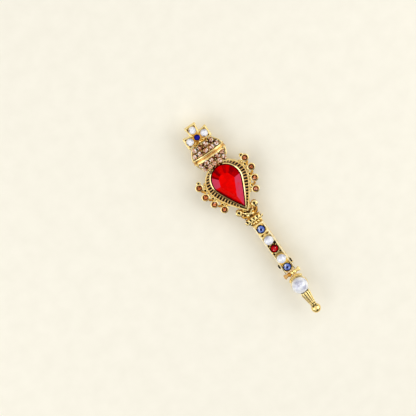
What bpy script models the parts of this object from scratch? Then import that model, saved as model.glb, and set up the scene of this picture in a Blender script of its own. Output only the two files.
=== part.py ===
"""Sceptre hat pin: a gold-plated brooch with stones and pearls, and a hinged pin with a safety catch behind.

The pin lies on its back. X runs across it, Y along the sceptre towards the cross, Z out of its face.
Z = 0 is the surface that its hinge and its catch rest on, under the middle of its length and width.
Every piece is drawn in the sceptre's own frame, where Y starts at the tail and Z at the flat back.
"""

import math

import bmesh
import bpy
from mathutils import Matrix, Vector

MM = 0.001

# Fits
JOINT_GAP = 0.12 * MM       # left between neighbours, for solder or cement
RUNNING_GAP = 0.10 * MM     # left around what turns
STONE_GAP = 0.06 * MM       # left around a stone in its seat
RIVET_GAP = 0.06 * MM       # left around the rivet in its ears
MERGE = 0.0005 * MM         # points this close are one point

# Cut of the small round stones
GIRDLE = 0.12 * MM
TABLE_SHARE = 0.58
SET_DEPTH = 0.18 * MM       # from a cup's edge down to the stone's girdle

# Tail: ball, neck ring and fluted taper, turned about one axis
TIP_BALL_RADIUS = 1.80 * MM
NECK_RADIUS = 1.25 * MM
NECK_LENGTH = 1.00 * MM
TAPER_LENGTH = 5.05 * MM
TAPER_FOOT_RADIUS = 1.25 * MM
TAPER_HEAD_RADIUS = 2.00 * MM
FLUTES = 10
FLUTE_DEPTH = 0.22 * MM

# Large pearl in its cup
LARGE_PEARL_RADIUS = 3.05 * MM
CUP_LIP = 0.15 * MM         # how far the cup's rim shows beyond the pearl
CUP_FLOOR = 0.35 * MM
CUP_HEIGHT = 1.90 * MM
CUP_FOOT_RADIUS = 1.70 * MM
SHOULDER_LENGTH = 0.60 * MM
SHOULDER_HALF_WIDTH = 2.75 * MM
PEG_RADIUS = 0.45 * MM
PEG_LENGTH = 1.70 * MM

# Crossbar between the pearl and the staff
CROSSBAR_LENGTH = 1.90 * MM
CROSSBAR_HALF_SPAN = 3.35 * MM
CROSSBAR_WAIST = 0.50       # wing height at its root, as a share of the length
CROSSBAR_HEIGHT = 1.75 * MM
CROSSBAR_LOBES = 3
CROSSBAR_LOBE_RADIUS = 0.62 * MM
CROSSBAR_LOBE_PITCH = 0.90  # from one lobe to the next, as a share of a lobe's width

# Staff: a channel that carries three stones and two pearls
STAFF_SIDE_SPACE = 0.08 * MM  # beside the widest piece in the channel
STAFF_WALL = 0.32 * MM
STAFF_FLOOR = 0.80 * MM
STAFF_WALL_HEIGHT = 1.90 * MM
STAFF_STONE_RADIUS = 1.45 * MM
STAFF_STONE_CROWN = 0.70 * MM
STAFF_PEARL_RADIUS = 1.74 * MM
COLLET_WALL = 0.18 * MM
COLLET_HEIGHT = 1.75 * MM
COLLET_FLOOR = 0.30 * MM
PRONG_SIZE = 0.45 * MM
PRONG_RISE = 0.40 * MM
PEARL_SEAT_RADIUS = 1.30 * MM
PEARL_SEAT_FLOOR = 0.30 * MM
PEARL_SEAT_HEIGHT = 0.55 * MM
SPACER_LENGTH = 0.90 * MM
SPACER_HEIGHT = 1.50 * MM
# Spaces along the staff, from its tail end
BELOW_LOWER_SAPPHIRE = 0.54 * MM
BELOW_LOWER_PEARL = 0.45 * MM
BELOW_GARNET = 1.05 * MM
BELOW_UPPER_PEARL = 0.38 * MM
BELOW_SPACER = 0.16 * MM
BELOW_UPPER_SAPPHIRE = 0.42 * MM
ABOVE_UPPER_SAPPHIRE = 0.36 * MM
SIDE_LEAF_AT = 3.60 * MM
SIDE_LEAF_LENGTH = 1.90 * MM
SIDE_LEAF_WIDTH = 0.62 * MM
SIDE_LEAF_HEIGHT = 1.60 * MM
SIDE_LEAF_RISE = 0.30 * MM

# Leaf ruff and scroll collar under the pear
RUFF_LENGTH = 3.40 * MM
RUFF_HALF_WIDTH = 3.75 * MM
RUFF_HEIGHT = 2.60 * MM
RUFF_LEAVES = 5
RUFF_LEAF_AT = 0.46         # the middle leaf's place, as a share of the ruff's length
RUFF_SIDE_SHIFT = 0.12      # how much further up the side leaves sit
RUFF_LEAF_RISE = 0.60       # the middle leaf's height, as a share of the ruff's height
RUFF_SIDE_DROP = 0.16       # how much lower the side leaves sit
SCROLL_LENGTH = 5.40 * MM
SCROLL_FOOT_HALF = 3.10 * MM
VOLUTE_RADIUS = 1.45 * MM
VOLUTE_HALF_SPACING = 3.30 * MM
VOLUTE_HEIGHT = 2.20 * MM
KNOT_RADIUS = 1.55 * MM
FRAME_TIP_IN_SCROLL = 2.30 * MM

# Pear stone, its bezel and the ribbed frame round it
STONE_HALF_WIDTH = 5.55 * MM
STONE_TOP_HEIGHT = 6.00 * MM
STONE_TIP_DEPTH = 12.25 * MM
STONE_PAVILION = 1.15 * MM
STONE_GIRDLE = 0.25 * MM
STONE_CROWN = 2.35 * MM
STONE_TABLE_SHARE = 0.50
PEAR_SIDE_START = math.radians(20)  # below the middle, where the round head turns into the sides
PEAR_SIDE_PULL = 0.36       # how full the sides are
TIP_STRETCH = 1.9           # a pear's sharp tip moves this much further than its sides as it grows
BEZEL_WALL = 0.40 * MM
BEZEL_FLOOR = 0.60 * MM
BEZEL_LIP = 0.25 * MM       # the bezel's edge above the girdle
CHANNEL_SIDE = 1.90 * MM    # the ribbed channel with its rim, beside, above and below the bezel
CHANNEL_TOP = 0.60 * MM
CHANNEL_TIP = 0.90 * MM
FRAME_RIM = 0.45 * MM
FRAME_HEIGHT = 2.05 * MM
RIB_HEIGHT = 1.75 * MM
GROOVE_HEIGHT = 1.25 * MM
RIBS = 58

# Side collets, four each side, on a rail that follows the frame
SIDE_STONES = 4
SIDE_STONE_RADIUS = 0.90 * MM
SIDE_STONE_CROWN = 0.50 * MM
SIDE_CUP_WALL = 0.48 * MM
SIDE_CUP_HEIGHT = 1.90 * MM
SIDE_CUP_FLOOR = 0.35 * MM
SIDE_STEM_LENGTH = 0.61 * MM  # from the frame's edge to a cup
SIDE_SPACE = 1.22 * MM        # between two cups
SIDE_FIRST_RISE = 3.00 * MM   # the first cup's middle above the pear's middle
SIDE_FIRST_OUT = 0.40 * MM    # how much further out the first cup stands
SIDE_RAIL_WIDTH = 0.55 * MM
SIDE_RAIL_HEIGHT = 1.10 * MM
SIDE_STEM_WIDTH = 0.80 * MM

# Orb with four rows of stones and a plain band
ORB_SEAT = 1.35 * MM        # how far the orb's foot reaches down over the frame's shoulder
ORB_OVERHANG = 0.50 * MM    # how far the first row of stones reaches out over the frame's top
ORB_HALF_WIDTH = 6.30 * MM
ORB_FOOT_HALF_WIDTH = 3.80 * MM
ORB_CROWN_HALF_WIDTH = 3.60 * MM
ORB_DEPTH_SHARE = 0.60      # depth over half width
ORB_GROOVE = 0.38 * MM
ORB_STONE_RADIUS = 0.93 * MM
ORB_STONE_PAVILION = 0.45 * MM
ORB_STONE_CROWN = 0.42 * MM
ORB_ROW_SPACE = 0.06 * MM   # between two rows that lie side by side
ORB_STRIP_WIDTH = 0.60 * MM  # the strip that holds a row of stones together
ORB_STRIP_THICKNESS = 0.20 * MM
BAND_WIDTH = 1.75 * MM
BAND_THICKNESS = 0.50 * MM
BAND_SWELL = 0.20 * MM
# Stones in each row and the pitch between their middles, from the foot up
ORB_ROWS = ((5, 2.15 * MM), (5, 2.35 * MM), (5, 2.45 * MM), (4, 2.45 * MM))

# Cross
CROSS_STONE_RADIUS = 1.38 * MM
CROSS_CENTRE_RADIUS = 1.12 * MM
CROSS_STONE_SPACE = 0.60 * MM  # between the middle stone and those round it
CROSS_SIDE_END = 0.44 * MM     # metal beyond a stone at the end of a side arm
CROSS_TOP_END = 0.60 * MM
CROSS_END_HALF_WIDTH = 2.50 * MM
CROSS_NOTCH = 1.85 * MM        # from the middle out to the corners between the arms
CROSS_FOOT = 0.50 * MM         # the lower arm beyond those corners
CROSS_HEIGHT = 2.35 * MM
CROSS_RIM = 0.36 * MM
CROSS_RECESS = 0.55 * MM
CROSS_STONE_RISE = 0.10 * MM
CROSS_STONE_CROWN = 0.62 * MM
CROSS_PIT_FLOOR = 0.50 * MM

# Pin, hinge and safety catch on the back
BAR_HALF_WIDTH = 2.20 * MM
BAR_THICKNESS = 0.75 * MM
BAR_END = 3.00 * MM         # bar beyond the hinge's and the catch's middle
BAR_HOLE_RADIUS = 0.80 * MM
STEM_RADIUS = 0.45 * MM
STEM_POINT = 3.20 * MM
STEM_PAST_CATCH = 3.60 * MM
HINGE_ABOVE_PEAR = 2.40 * MM
EYE_WALL = 0.60 * MM
EYE_SPARE = 0.05 * MM       # half of what the eye is thicker than the wire
EAR_THICKNESS = 0.60 * MM
EAR_HALF_WIDTH = 1.35 * MM
HINGE_PLATE = 0.40 * MM
HINGE_INSET = 0.20 * MM     # from the bar's edge to the hinge's plate
RIVET_RADIUS = 0.40 * MM
RIVET_HEAD_RADIUS = 0.75 * MM
RIVET_HEAD = 0.25 * MM
CATCH_FROM_STAFF_END = 3.40 * MM
CATCH_LENGTH = 2.60 * MM
CATCH_WALL = 0.42 * MM
CATCH_FOOT = 0.33 * MM      # from the catch's round up to the bar
CATCH_MOUTH_HALF_ANGLE = math.radians(31)
STEM_PLAY = 0.27 * MM       # round the pin stem in the rotor
ROTOR_WALL = 0.48 * MM
ROTOR_FLANGE = 0.25 * MM    # flange edge beyond the rotor's barrel
ROTOR_FLANGE_THICKNESS = 0.42 * MM
ROTOR_SLOT_HALF_ANGLE = math.radians(56)
LEVER_LENGTH = 1.10 * MM
LEVER_ANGLE = math.radians(25)
LEVER_HALF_WIDTH = 0.32 * MM
THUMB_RADIUS = 0.45 * MM

# Facets and steps
ROUND_STEPS = 20
SMALL_STEPS = 14
STONE_SIDES = 12
ARC_STEPS = 14
PEAR_STEPS = 48

# Stations along the sceptre, from the tail
BALL_NECK_HALF = math.sqrt(TIP_BALL_RADIUS ** 2 - NECK_RADIUS ** 2)
NECK_Y = TIP_BALL_RADIUS + BALL_NECK_HALF + JOINT_GAP
TAPER_Y = NECK_Y + NECK_LENGTH + JOINT_GAP
CUP_RADIUS = LARGE_PEARL_RADIUS + CUP_LIP
PEARL_Y = TAPER_Y + TAPER_LENGTH + JOINT_GAP + CUP_RADIUS
CROSSBAR_Y = PEARL_Y + CUP_RADIUS + SHOULDER_LENGTH + JOINT_GAP
STAFF_Y = CROSSBAR_Y + CROSSBAR_LENGTH + JOINT_GAP
COLLET_BORE = STAFF_STONE_RADIUS + STONE_GAP
COLLET_RADIUS = COLLET_BORE + COLLET_WALL
STAFF_INNER_HALF = max(COLLET_RADIUS, STAFF_PEARL_RADIUS, PEARL_SEAT_RADIUS) + STAFF_SIDE_SPACE
STAFF_OUTER_HALF = STAFF_INNER_HALF + STAFF_WALL
LOWER_SAPPHIRE_AT = BELOW_LOWER_SAPPHIRE + COLLET_RADIUS
LOWER_PEARL_AT = LOWER_SAPPHIRE_AT + COLLET_RADIUS + BELOW_LOWER_PEARL + STAFF_PEARL_RADIUS
GARNET_AT = LOWER_PEARL_AT + STAFF_PEARL_RADIUS + BELOW_GARNET + COLLET_RADIUS
UPPER_PEARL_AT = GARNET_AT + COLLET_RADIUS + BELOW_UPPER_PEARL + STAFF_PEARL_RADIUS
SPACER_AT = UPPER_PEARL_AT + STAFF_PEARL_RADIUS + BELOW_SPACER + SPACER_LENGTH / 2
UPPER_SAPPHIRE_AT = SPACER_AT + SPACER_LENGTH / 2 + BELOW_UPPER_SAPPHIRE + COLLET_RADIUS
STAFF_LENGTH = UPPER_SAPPHIRE_AT + COLLET_RADIUS + ABOVE_UPPER_SAPPHIRE
RUFF_Y = STAFF_Y + STAFF_LENGTH + JOINT_GAP
SCROLL_Y = RUFF_Y + RUFF_LENGTH + JOINT_GAP
BEZEL_GROW = STONE_GAP + BEZEL_WALL
FRAME_INNER_GROW = BEZEL_GROW + JOINT_GAP
FRAME_HALF_WIDTH = STONE_HALF_WIDTH + FRAME_INNER_GROW + CHANNEL_SIDE
FRAME_TOP_HEIGHT = STONE_TOP_HEIGHT + FRAME_INNER_GROW + CHANNEL_TOP
FRAME_TIP_DEPTH = STONE_TIP_DEPTH + TIP_STRETCH * FRAME_INNER_GROW + CHANNEL_TIP
PEAR_Y = SCROLL_Y + FRAME_TIP_IN_SCROLL + FRAME_TIP_DEPTH
SIDE_CUP_BORE = SIDE_STONE_RADIUS + STONE_GAP
SIDE_CUP_RADIUS = SIDE_CUP_BORE + SIDE_CUP_WALL
ORB_Y = PEAR_Y + FRAME_TOP_HEIGHT - ORB_SEAT
ORB_ROW_PITCH = 2 * ORB_STONE_RADIUS + ORB_ROW_SPACE
ORB_ROW_TO_BAND = ORB_STONE_RADIUS + JOINT_GAP + BAND_WIDTH / 2
FIRST_ROW_AT = ORB_SEAT - ORB_OVERHANG + ORB_STONE_RADIUS
BAND_AT = FIRST_ROW_AT + ORB_ROW_PITCH + ORB_ROW_TO_BAND
ORB_LENGTH = BAND_AT + ORB_ROW_TO_BAND + ORB_ROW_PITCH + ORB_STONE_RADIUS + ORB_ROW_SPACE
CROSS_STONE_AT = CROSS_CENTRE_RADIUS + CROSS_STONE_SPACE + CROSS_STONE_RADIUS
CROSS_HALF_SPAN = CROSS_STONE_AT + CROSS_STONE_RADIUS + CROSS_SIDE_END
CROSS_TOP_ARM = CROSS_STONE_AT + CROSS_STONE_RADIUS + CROSS_TOP_END
CROSS_LOWER_ARM = CROSS_NOTCH + CROSS_FOOT
CROSS_Y = ORB_Y + ORB_LENGTH + JOINT_GAP + CROSS_LOWER_ARM
OVERALL_LENGTH = CROSS_Y + CROSS_TOP_ARM
AXIS_Z = max(TAPER_HEAD_RADIUS, TIP_BALL_RADIUS)

# Hinge and catch, and their levels behind the flat back
EYE_HOLE = RIVET_RADIUS + RUNNING_GAP
EYE_RADIUS = EYE_HOLE + EYE_WALL
EYE_HALF_THICKNESS = STEM_RADIUS + EYE_SPARE
EAR_INNER = EYE_HALF_THICKNESS + RUNNING_GAP
EAR_OUTER = EAR_INNER + EAR_THICKNESS
ROTOR_BORE = STEM_RADIUS + STEM_PLAY
ROTOR_RADIUS = ROTOR_BORE + ROTOR_WALL
ROTOR_RIM = ROTOR_RADIUS + ROTOR_FLANGE
CATCH_INNER = ROTOR_RADIUS + RUNNING_GAP
CATCH_OUTER = CATCH_INNER + CATCH_WALL
JAW_DROP = CATCH_OUTER * math.cos(CATCH_MOUTH_HALF_ANGLE)
STEM_CLEARANCE = CATCH_OUTER + CATCH_FOOT
BAR_TOP_Z = -JOINT_GAP
BAR_BACK_Z = BAR_TOP_Z - BAR_THICKNESS
STEM_Z = BAR_BACK_Z - STEM_CLEARANCE
FLOOR_Z = STEM_Z - JAW_DROP
HINGE_Y = PEAR_Y + HINGE_ABOVE_PEAR
CATCH_Y = STAFF_Y + CATCH_FROM_STAFF_END


# Materials

def metal(name, colour, roughness):
    return finish(name, colour, roughness, 1.0)


def gem(name, colour):
    return finish(name, colour, 0.05, 0.0)


def finish(name, colour, roughness, metallic):
    material = bpy.data.materials.new(name)
    material.use_nodes = True
    shader = material.node_tree.nodes["Principled BSDF"]
    shader.inputs["Base Color"].default_value = (*colour, 1.0)
    shader.inputs["Roughness"].default_value = roughness
    shader.inputs["Metallic"].default_value = metallic
    return material


# Shapes

def solid(bm):
    """A loose object at the origin that holds this closed shape with its faces pointing out."""
    bmesh.ops.remove_doubles(bm, verts=bm.verts, dist=MERGE)
    bmesh.ops.recalc_face_normals(bm, faces=bm.faces)
    mesh = bpy.data.meshes.new("shape")
    bm.to_mesh(mesh)
    bm.free()
    loose = bpy.data.objects.new("shape", mesh)
    bpy.context.scene.collection.objects.link(loose)
    return loose


def loft(sections, closed=False):
    """A solid skinned over loops of equally many points: a closed ring of them, or a row with end caps."""
    bm = bmesh.new()
    loops = [[bm.verts.new(point) for point in section] for section in sections]
    pairs = list(zip(loops, loops[1:]))
    if closed:
        pairs.append((loops[-1], loops[0]))
    else:
        bm.faces.new(loops[0])
        bm.faces.new(loops[-1])
    for lower, upper in pairs:
        count = len(lower)
        for i in range(count):
            j = (i + 1) % count
            bm.faces.new((lower[i], lower[j], upper[j], upper[i]))
    return solid(bm)


def prism(outline, low, high, axis="Z"):
    """An outline drawn across an axis, drawn out along it from low to high."""
    lift = {
        "X": lambda point, level: Vector((level, point[0], point[1])),
        "Y": lambda point, level: Vector((point[0], level, point[1])),
        "Z": lambda point, level: Vector((point[0], point[1], level)),
    }[axis]
    return loft([[lift(point, level) for point in outline] for level in (low, high)])


def turned(profile, steps, axis="Z", closed=False):
    """A profile of (radius, height) points spun round an axis. An open one starts and ends on the axis."""
    bm = bmesh.new()
    points = [bm.verts.new((radius, 0.0, height)) for radius, height in profile]
    edges = [bm.edges.new(pair) for pair in zip(points, points[1:])]
    if closed:
        edges.append(bm.edges.new((points[-1], points[0])))
    bmesh.ops.spin(
        bm, geom=points + edges, cent=(0, 0, 0), axis=(0, 0, 1),
        angle=math.tau, steps=steps, use_merge=True,
    )
    bmesh.ops.remove_doubles(bm, verts=bm.verts, dist=MERGE)
    if axis != "Z":
        turn = {"Y": Matrix.Rotation(-math.pi / 2, 3, "X"), "X": Matrix.Rotation(math.pi / 2, 3, "Y")}[axis]
        bmesh.ops.rotate(bm, verts=bm.verts, cent=(0, 0, 0), matrix=turn)
    return solid(bm)


def block(low, high):
    """A box between two corners."""
    corners = [(low[0], low[1]), (high[0], low[1]), (high[0], high[1]), (low[0], high[1])]
    return prism(corners, low[2], high[2])


def ellipsoid(middle, radii, steps):
    bm = bmesh.new()
    bmesh.ops.create_uvsphere(bm, u_segments=steps, v_segments=steps // 2, radius=1.0)
    bmesh.ops.scale(bm, verts=bm.verts, vec=radii)
    bmesh.ops.translate(bm, verts=bm.verts, vec=middle)
    return solid(bm)


def boolean(target, tool, operation):
    """Joins a tool to the target or cuts it away, and removes the tool."""
    modifier = target.modifiers.new(operation, "BOOLEAN")
    modifier.operation = operation
    modifier.object = tool
    graph = bpy.context.evaluated_depsgraph_get()
    shaped = bpy.data.meshes.new_from_object(target.evaluated_get(graph))
    target.modifiers.clear()
    target.data = shaped
    bpy.data.objects.remove(tool)
    return target


def joined(first, *others):
    for other in others:
        boolean(first, other, "UNION")
    return first


def cut(target, *tools):
    for tool in tools:
        boolean(target, tool, "DIFFERENCE")
    return target


def moved(shape, x=0.0, y=0.0, z=0.0):
    shape.data.transform(Matrix.Translation((x, y, z)))
    return shape


def turned_to(shape, normal):
    """The shape with its Z axis turned to a direction in the XZ plane."""
    shape.data.transform(Matrix.Rotation(math.atan2(normal[0], normal[1]), 4, "Y"))
    return shape


def arc(middle, radius, start, end, steps):
    return [
        (middle[0] + radius * math.cos(a), middle[1] + radius * math.sin(a))
        for a in (start + (end - start) * i / steps for i in range(steps + 1))
    ]


def node(name, shape, material, location=(0.0, 0.0, 0.0), smooth=True):
    """Names a finished piece, gives it its finish and sets it in the sceptre's frame."""
    shape.name = name
    shape.data.name = name
    shape.data.materials.clear()
    shape.data.materials.append(material)
    if smooth:
        shape.data.shade_smooth()
        shape.data.set_sharp_from_angle(angle=math.radians(35))
    shape.location = location
    shape.parent = bpy.data.objects["sceptre"]
    return shape


# Stones and pearls

def round_stone(radius, crown, pavilion):
    """A faceted stone whose girdle stands on Z = 0 and whose point hangs below it."""
    top = GIRDLE + crown
    return turned(
        [(0, top), (TABLE_SHARE * radius, top), (radius, GIRDLE), (radius, 0), (0, -pavilion)], STONE_SIDES
    )


def drilled_pearl(radius, hole_radius, hole_depth):
    """A ball with a blind hole from below for its peg. Its middle is at the origin."""
    mouth = -math.asin(math.sqrt(radius ** 2 - hole_radius ** 2) / radius)
    steps = ROUND_STEPS // 2
    skin = [(0.0, radius)]
    skin += arc((0, 0), radius, math.pi / 2, mouth, steps)[1:]
    top = -radius + hole_depth
    return turned(skin + [(hole_radius, top), (0.0, top)], ROUND_STEPS)


# Pear outlines, by half width, height above the middle and depth of the tip

def pear_point(half_width, top_height, tip_depth, share):
    """The point at this share of the way round a pear, from its tip and up its right side."""
    if share > 0.5:
        x, y = pear_point(half_width, top_height, tip_depth, 1.0 - share)
        return -x, y
    corner = Vector((half_width * math.cos(PEAR_SIDE_START), -half_width * math.sin(PEAR_SIDE_START)))
    tip = Vector((0.0, -tip_depth))
    if share < 0.25:
        t = share / 0.25
        down = Vector((-math.sin(PEAR_SIDE_START), -math.cos(PEAR_SIDE_START)))
        pull = corner + down * PEAR_SIDE_PULL * (tip - corner).length
        point = tip * (1 - t) ** 2 + pull * 2 * t * (1 - t) + corner * t ** 2
        return point.x, point.y
    angle = -PEAR_SIDE_START + (math.pi / 2 + PEAR_SIDE_START) * (share - 0.25) / 0.25
    height = top_height if angle > 0 else half_width
    return half_width * math.cos(angle), height * math.sin(angle)


def pear_outline(half_width, top_height, tip_depth, count):
    return [pear_point(half_width, top_height, tip_depth, i / count) for i in range(count)]


def stone_outline(grow, count):
    """The pear stone's outline, grown all round."""
    tip = STONE_TIP_DEPTH + TIP_STRETCH * grow
    return pear_outline(STONE_HALF_WIDTH + grow, STONE_TOP_HEIGHT + grow, tip, count)


def frame_outline(grow, count):
    """The frame's outer edge, grown all round."""
    tip = FRAME_TIP_DEPTH + TIP_STRETCH * grow
    return pear_outline(FRAME_HALF_WIDTH + grow, FRAME_TOP_HEIGHT + grow, tip, count)


def at_height(outline, z):
    return [Vector((x, y + PEAR_Y, z)) for x, y in outline]


def even_shares(outline_of, count):
    """Shares of the way round an outline that lie evenly along it, the tip first."""
    fine = 720
    points = [Vector(outline_of(i / fine)) for i in range(fine + 1)]
    lengths = [0.0]
    for a, b in zip(points, points[1:]):
        lengths.append(lengths[-1] + (b - a).length)
    shares, i = [], 0
    for n in range(count):
        wanted = lengths[-1] * n / count
        while lengths[i + 1] < wanted:
            i += 1
        part = (wanted - lengths[i]) / (lengths[i + 1] - lengths[i])
        shares.append((i + part) / fine)
    return shares


# Tail

def make_tail(gold):
    neck = math.atan2(BALL_NECK_HALF, NECK_RADIUS)
    ball = [(0.0, BALL_NECK_HALF)] + arc((0, 0), TIP_BALL_RADIUS, neck, -math.pi / 2, 9)
    ball[-1] = (0.0, -TIP_BALL_RADIUS)
    node("tip_ball", turned(ball, ROUND_STEPS, "Y"), gold, (0, TIP_BALL_RADIUS, AXIS_Z))

    waist = 0.86 * NECK_RADIUS
    bead = [(0, NECK_LENGTH), (waist, NECK_LENGTH), (NECK_RADIUS, 0.72 * NECK_LENGTH)]
    bead += [(NECK_RADIUS, 0.28 * NECK_LENGTH), (waist, 0), (0, 0)]
    node("neck_ring", turned(bead, ROUND_STEPS, "Y"), gold, (0, NECK_Y, AXIS_Z))
    node("fluted_taper", fluted_taper(), gold, (0, TAPER_Y, AXIS_Z))


def fluted_taper():
    """Rounded flutes that swell from the neck to the pearl's cup."""
    points_per_flute = 4
    levels = 6
    sections = []
    for level in range(levels + 1):
        share = level / levels
        swell = math.sin(share * math.pi / 2) ** 0.8
        radius = TAPER_FOOT_RADIUS + (TAPER_HEAD_RADIUS - TAPER_FOOT_RADIUS) * swell
        section = []
        for i in range(FLUTES * points_per_flute):
            angle = math.tau * i / (FLUTES * points_per_flute)
            dip = abs(math.cos(angle * FLUTES / 2)) ** 3
            r = radius - FLUTE_DEPTH * dip
            section.append(Vector((r * math.cos(angle), share * TAPER_LENGTH, r * math.sin(angle))))
        sections.append(section)
    return loft(sections)


# Large pearl

def make_large_pearl(gold, pearl):
    middle = CUP_FLOOR + JOINT_GAP + LARGE_PEARL_RADIUS
    around = LARGE_PEARL_RADIUS + JOINT_GAP
    rim_angle = -math.asin((middle - CUP_HEIGHT) / around)
    bowl = [(CUP_RADIUS, CUP_HEIGHT), (0.97 * CUP_RADIUS, 0.55 * CUP_HEIGHT)]
    bowl += [(CUP_FOOT_RADIUS, 0.0), (0.0, 0.0)]
    peg_foot = -math.acos(PEG_RADIUS / around)
    seat = arc((0, middle), around, peg_foot, rim_angle, 6)
    peg_top = CUP_FLOOR + PEG_LENGTH
    profile = [(0.0, peg_top), (PEG_RADIUS, peg_top)] + seat + bowl
    cup = moved(turned(profile, ROUND_STEPS), y=PEARL_Y)
    rounded = 0.35 * SHOULDER_HALF_WIDTH
    top = PEARL_Y + CUP_RADIUS + SHOULDER_LENGTH
    inner = PEARL_Y + 0.8 * CUP_RADIUS
    right = [(SHOULDER_HALF_WIDTH, inner), (SHOULDER_HALF_WIDTH, top - 0.4 * SHOULDER_LENGTH)]
    right += [(SHOULDER_HALF_WIDTH - rounded, top)]
    outline = right + [(-x, y) for x, y in reversed(right)]
    shoulder = prism(outline, 0.08 * CUP_HEIGHT, 0.92 * CUP_HEIGHT)
    room = moved(ellipsoid((0, 0, 0), (around,) * 3, ROUND_STEPS), y=PEARL_Y, z=middle)
    node("large_pearl_cup", joined(cup, cut(shoulder, room)), gold)
    hole = PEG_LENGTH + CUP_FLOOR + JOINT_GAP - (middle - LARGE_PEARL_RADIUS)
    ball = drilled_pearl(LARGE_PEARL_RADIUS, PEG_RADIUS + JOINT_GAP, hole)
    node("large_pearl", ball, pearl, (0, PEARL_Y, middle))


# Crossbar

def make_crossbar(gold):
    half = CROSSBAR_LENGTH / 2
    root = half * CROSSBAR_WAIST
    boss = CROSSBAR_LOBES * CROSSBAR_LOBE_RADIUS
    right = [(boss, -root), (0.8 * CROSSBAR_HALF_SPAN, -0.85 * half), (CROSSBAR_HALF_SPAN, -0.6 * half)]
    right += [(x, -y) for x, y in reversed(right)]
    outline = right + [(-x, -y) for x, y in right]
    wings = prism(outline, 0.0, 0.75 * CROSSBAR_HEIGHT)
    lobes = []
    for i in range(CROSSBAR_LOBES):
        x = (2 * i - CROSSBAR_LOBES + 1) * CROSSBAR_LOBE_RADIUS * CROSSBAR_LOBE_PITCH
        z = CROSSBAR_HEIGHT - CROSSBAR_LOBE_RADIUS
        lobes.append(prism(arc((x, z), CROSSBAR_LOBE_RADIUS, 0, math.tau * 11 / 12, 11), -half, half, "Y"))
    node("crossbar", joined(wings, *lobes), gold, (0, CROSSBAR_Y + half, 0))


# Staff

def make_staff(gold, pearl, light_sapphire, garnet):
    wall = [(STAFF_OUTER_HALF, 0.0), (STAFF_OUTER_HALF, STAFF_WALL_HEIGHT)]
    wall += [(STAFF_INNER_HALF, STAFF_WALL_HEIGHT), (STAFF_INNER_HALF, STAFF_FLOOR)]
    profile = wall + [(-x, z) for x, z in reversed(wall)]
    node("staff_channel", prism(profile, 0.0, STAFF_LENGTH, "Y"), gold, (0, STAFF_Y, 0))

    stones = {
        "lower_sapphire": (LOWER_SAPPHIRE_AT, light_sapphire),
        "garnet": (GARNET_AT, garnet),
        "upper_sapphire": (UPPER_SAPPHIRE_AT, light_sapphire),
    }
    base = STAFF_FLOOR + JOINT_GAP
    for name, (at, material) in stones.items():
        node(name + "_collet", collet(), gold, (0, STAFF_Y + at, base))
        depth = COLLET_HEIGHT - SET_DEPTH - COLLET_FLOOR - STONE_GAP
        stone = round_stone(STAFF_STONE_RADIUS, STAFF_STONE_CROWN, depth)
        node(name, stone, material, (0, STAFF_Y + at, base + COLLET_HEIGHT - SET_DEPTH), smooth=False)
    for name, at in {"lower_pearl": LOWER_PEARL_AT, "upper_pearl": UPPER_PEARL_AT}.items():
        place_staff_pearl(name, STAFF_Y + at, base, gold, pearl)

    half = STAFF_INNER_HALF - JOINT_GAP
    pad_radii = (0.55 * half, SPACER_LENGTH / 2, SPACER_HEIGHT / 2)
    pads = [ellipsoid((side * 0.45 * half, 0, 0), pad_radii, SMALL_STEPS) for side in (-1, 1)]
    node("staff_spacer", joined(*pads), gold, (0, STAFF_Y + SPACER_AT, base + SPACER_HEIGHT / 2))

    for name, side in {"left_leaf": -1, "right_leaf": 1}.items():
        leaf = side_leaf(side)
        place = (side * (STAFF_OUTER_HALF + JOINT_GAP), STAFF_Y + SIDE_LEAF_AT, SIDE_LEAF_RISE)
        node(name, leaf, gold, place)


def collet():
    """A cup with four claws at its corners. It stands on Z = 0."""
    wall = [(0, COLLET_FLOOR), (COLLET_BORE, COLLET_FLOOR), (COLLET_BORE, COLLET_HEIGHT)]
    wall += [(COLLET_RADIUS, COLLET_HEIGHT), (COLLET_RADIUS, 0), (0, 0)]
    cup = turned(wall, ROUND_STEPS)
    claws = []
    for quarter in range(4):
        claw = block(
            (COLLET_BORE + 0.3 * COLLET_WALL, -PRONG_SIZE / 2, 0.05 * COLLET_HEIGHT),
            (COLLET_RADIUS + 0.6 * PRONG_SIZE, PRONG_SIZE / 2, COLLET_HEIGHT + PRONG_RISE),
        )
        claw.data.transform(Matrix.Rotation(math.pi / 4 + quarter * math.pi / 2, 4, "Z"))
        claws.append(claw)
    return joined(cup, *claws)


def place_staff_pearl(name, y, base, gold, pearl):
    """A dish with a peg, and the drilled pearl on it."""
    around = STAFF_PEARL_RADIUS + JOINT_GAP
    middle = PEARL_SEAT_FLOOR + around
    rim = -math.asin((middle - PEARL_SEAT_HEIGHT) / around)
    foot = -math.acos(PEG_RADIUS / around)
    peg_top = PEARL_SEAT_HEIGHT + 0.7 * STAFF_PEARL_RADIUS
    dish = [(0, peg_top), (PEG_RADIUS, peg_top)] + arc((0, middle), around, foot, rim, 3)
    dish += [(PEARL_SEAT_RADIUS, PEARL_SEAT_HEIGHT), (PEARL_SEAT_RADIUS, 0), (0, 0)]
    node(name + "_seat", turned(dish, SMALL_STEPS), gold, (0, y, base))
    hole = peg_top + JOINT_GAP - (middle - STAFF_PEARL_RADIUS)
    ball = drilled_pearl(STAFF_PEARL_RADIUS, PEG_RADIUS + JOINT_GAP, hole)
    node(name, ball, pearl, (0, y, base + middle))


def side_leaf(side):
    """A small curled leaf on the staff's flank."""
    half = SIDE_LEAF_LENGTH / 2
    steps = 8
    bow = [
        (side * SIDE_LEAF_WIDTH * math.sin(math.pi * i / steps) ** 0.7, -half + SIDE_LEAF_LENGTH * i / steps)
        for i in range(1, steps)
    ]
    return prism([(0, -half)] + bow + [(0, half)], 0, SIDE_LEAF_HEIGHT)


# Ruff and scrolls

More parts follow.
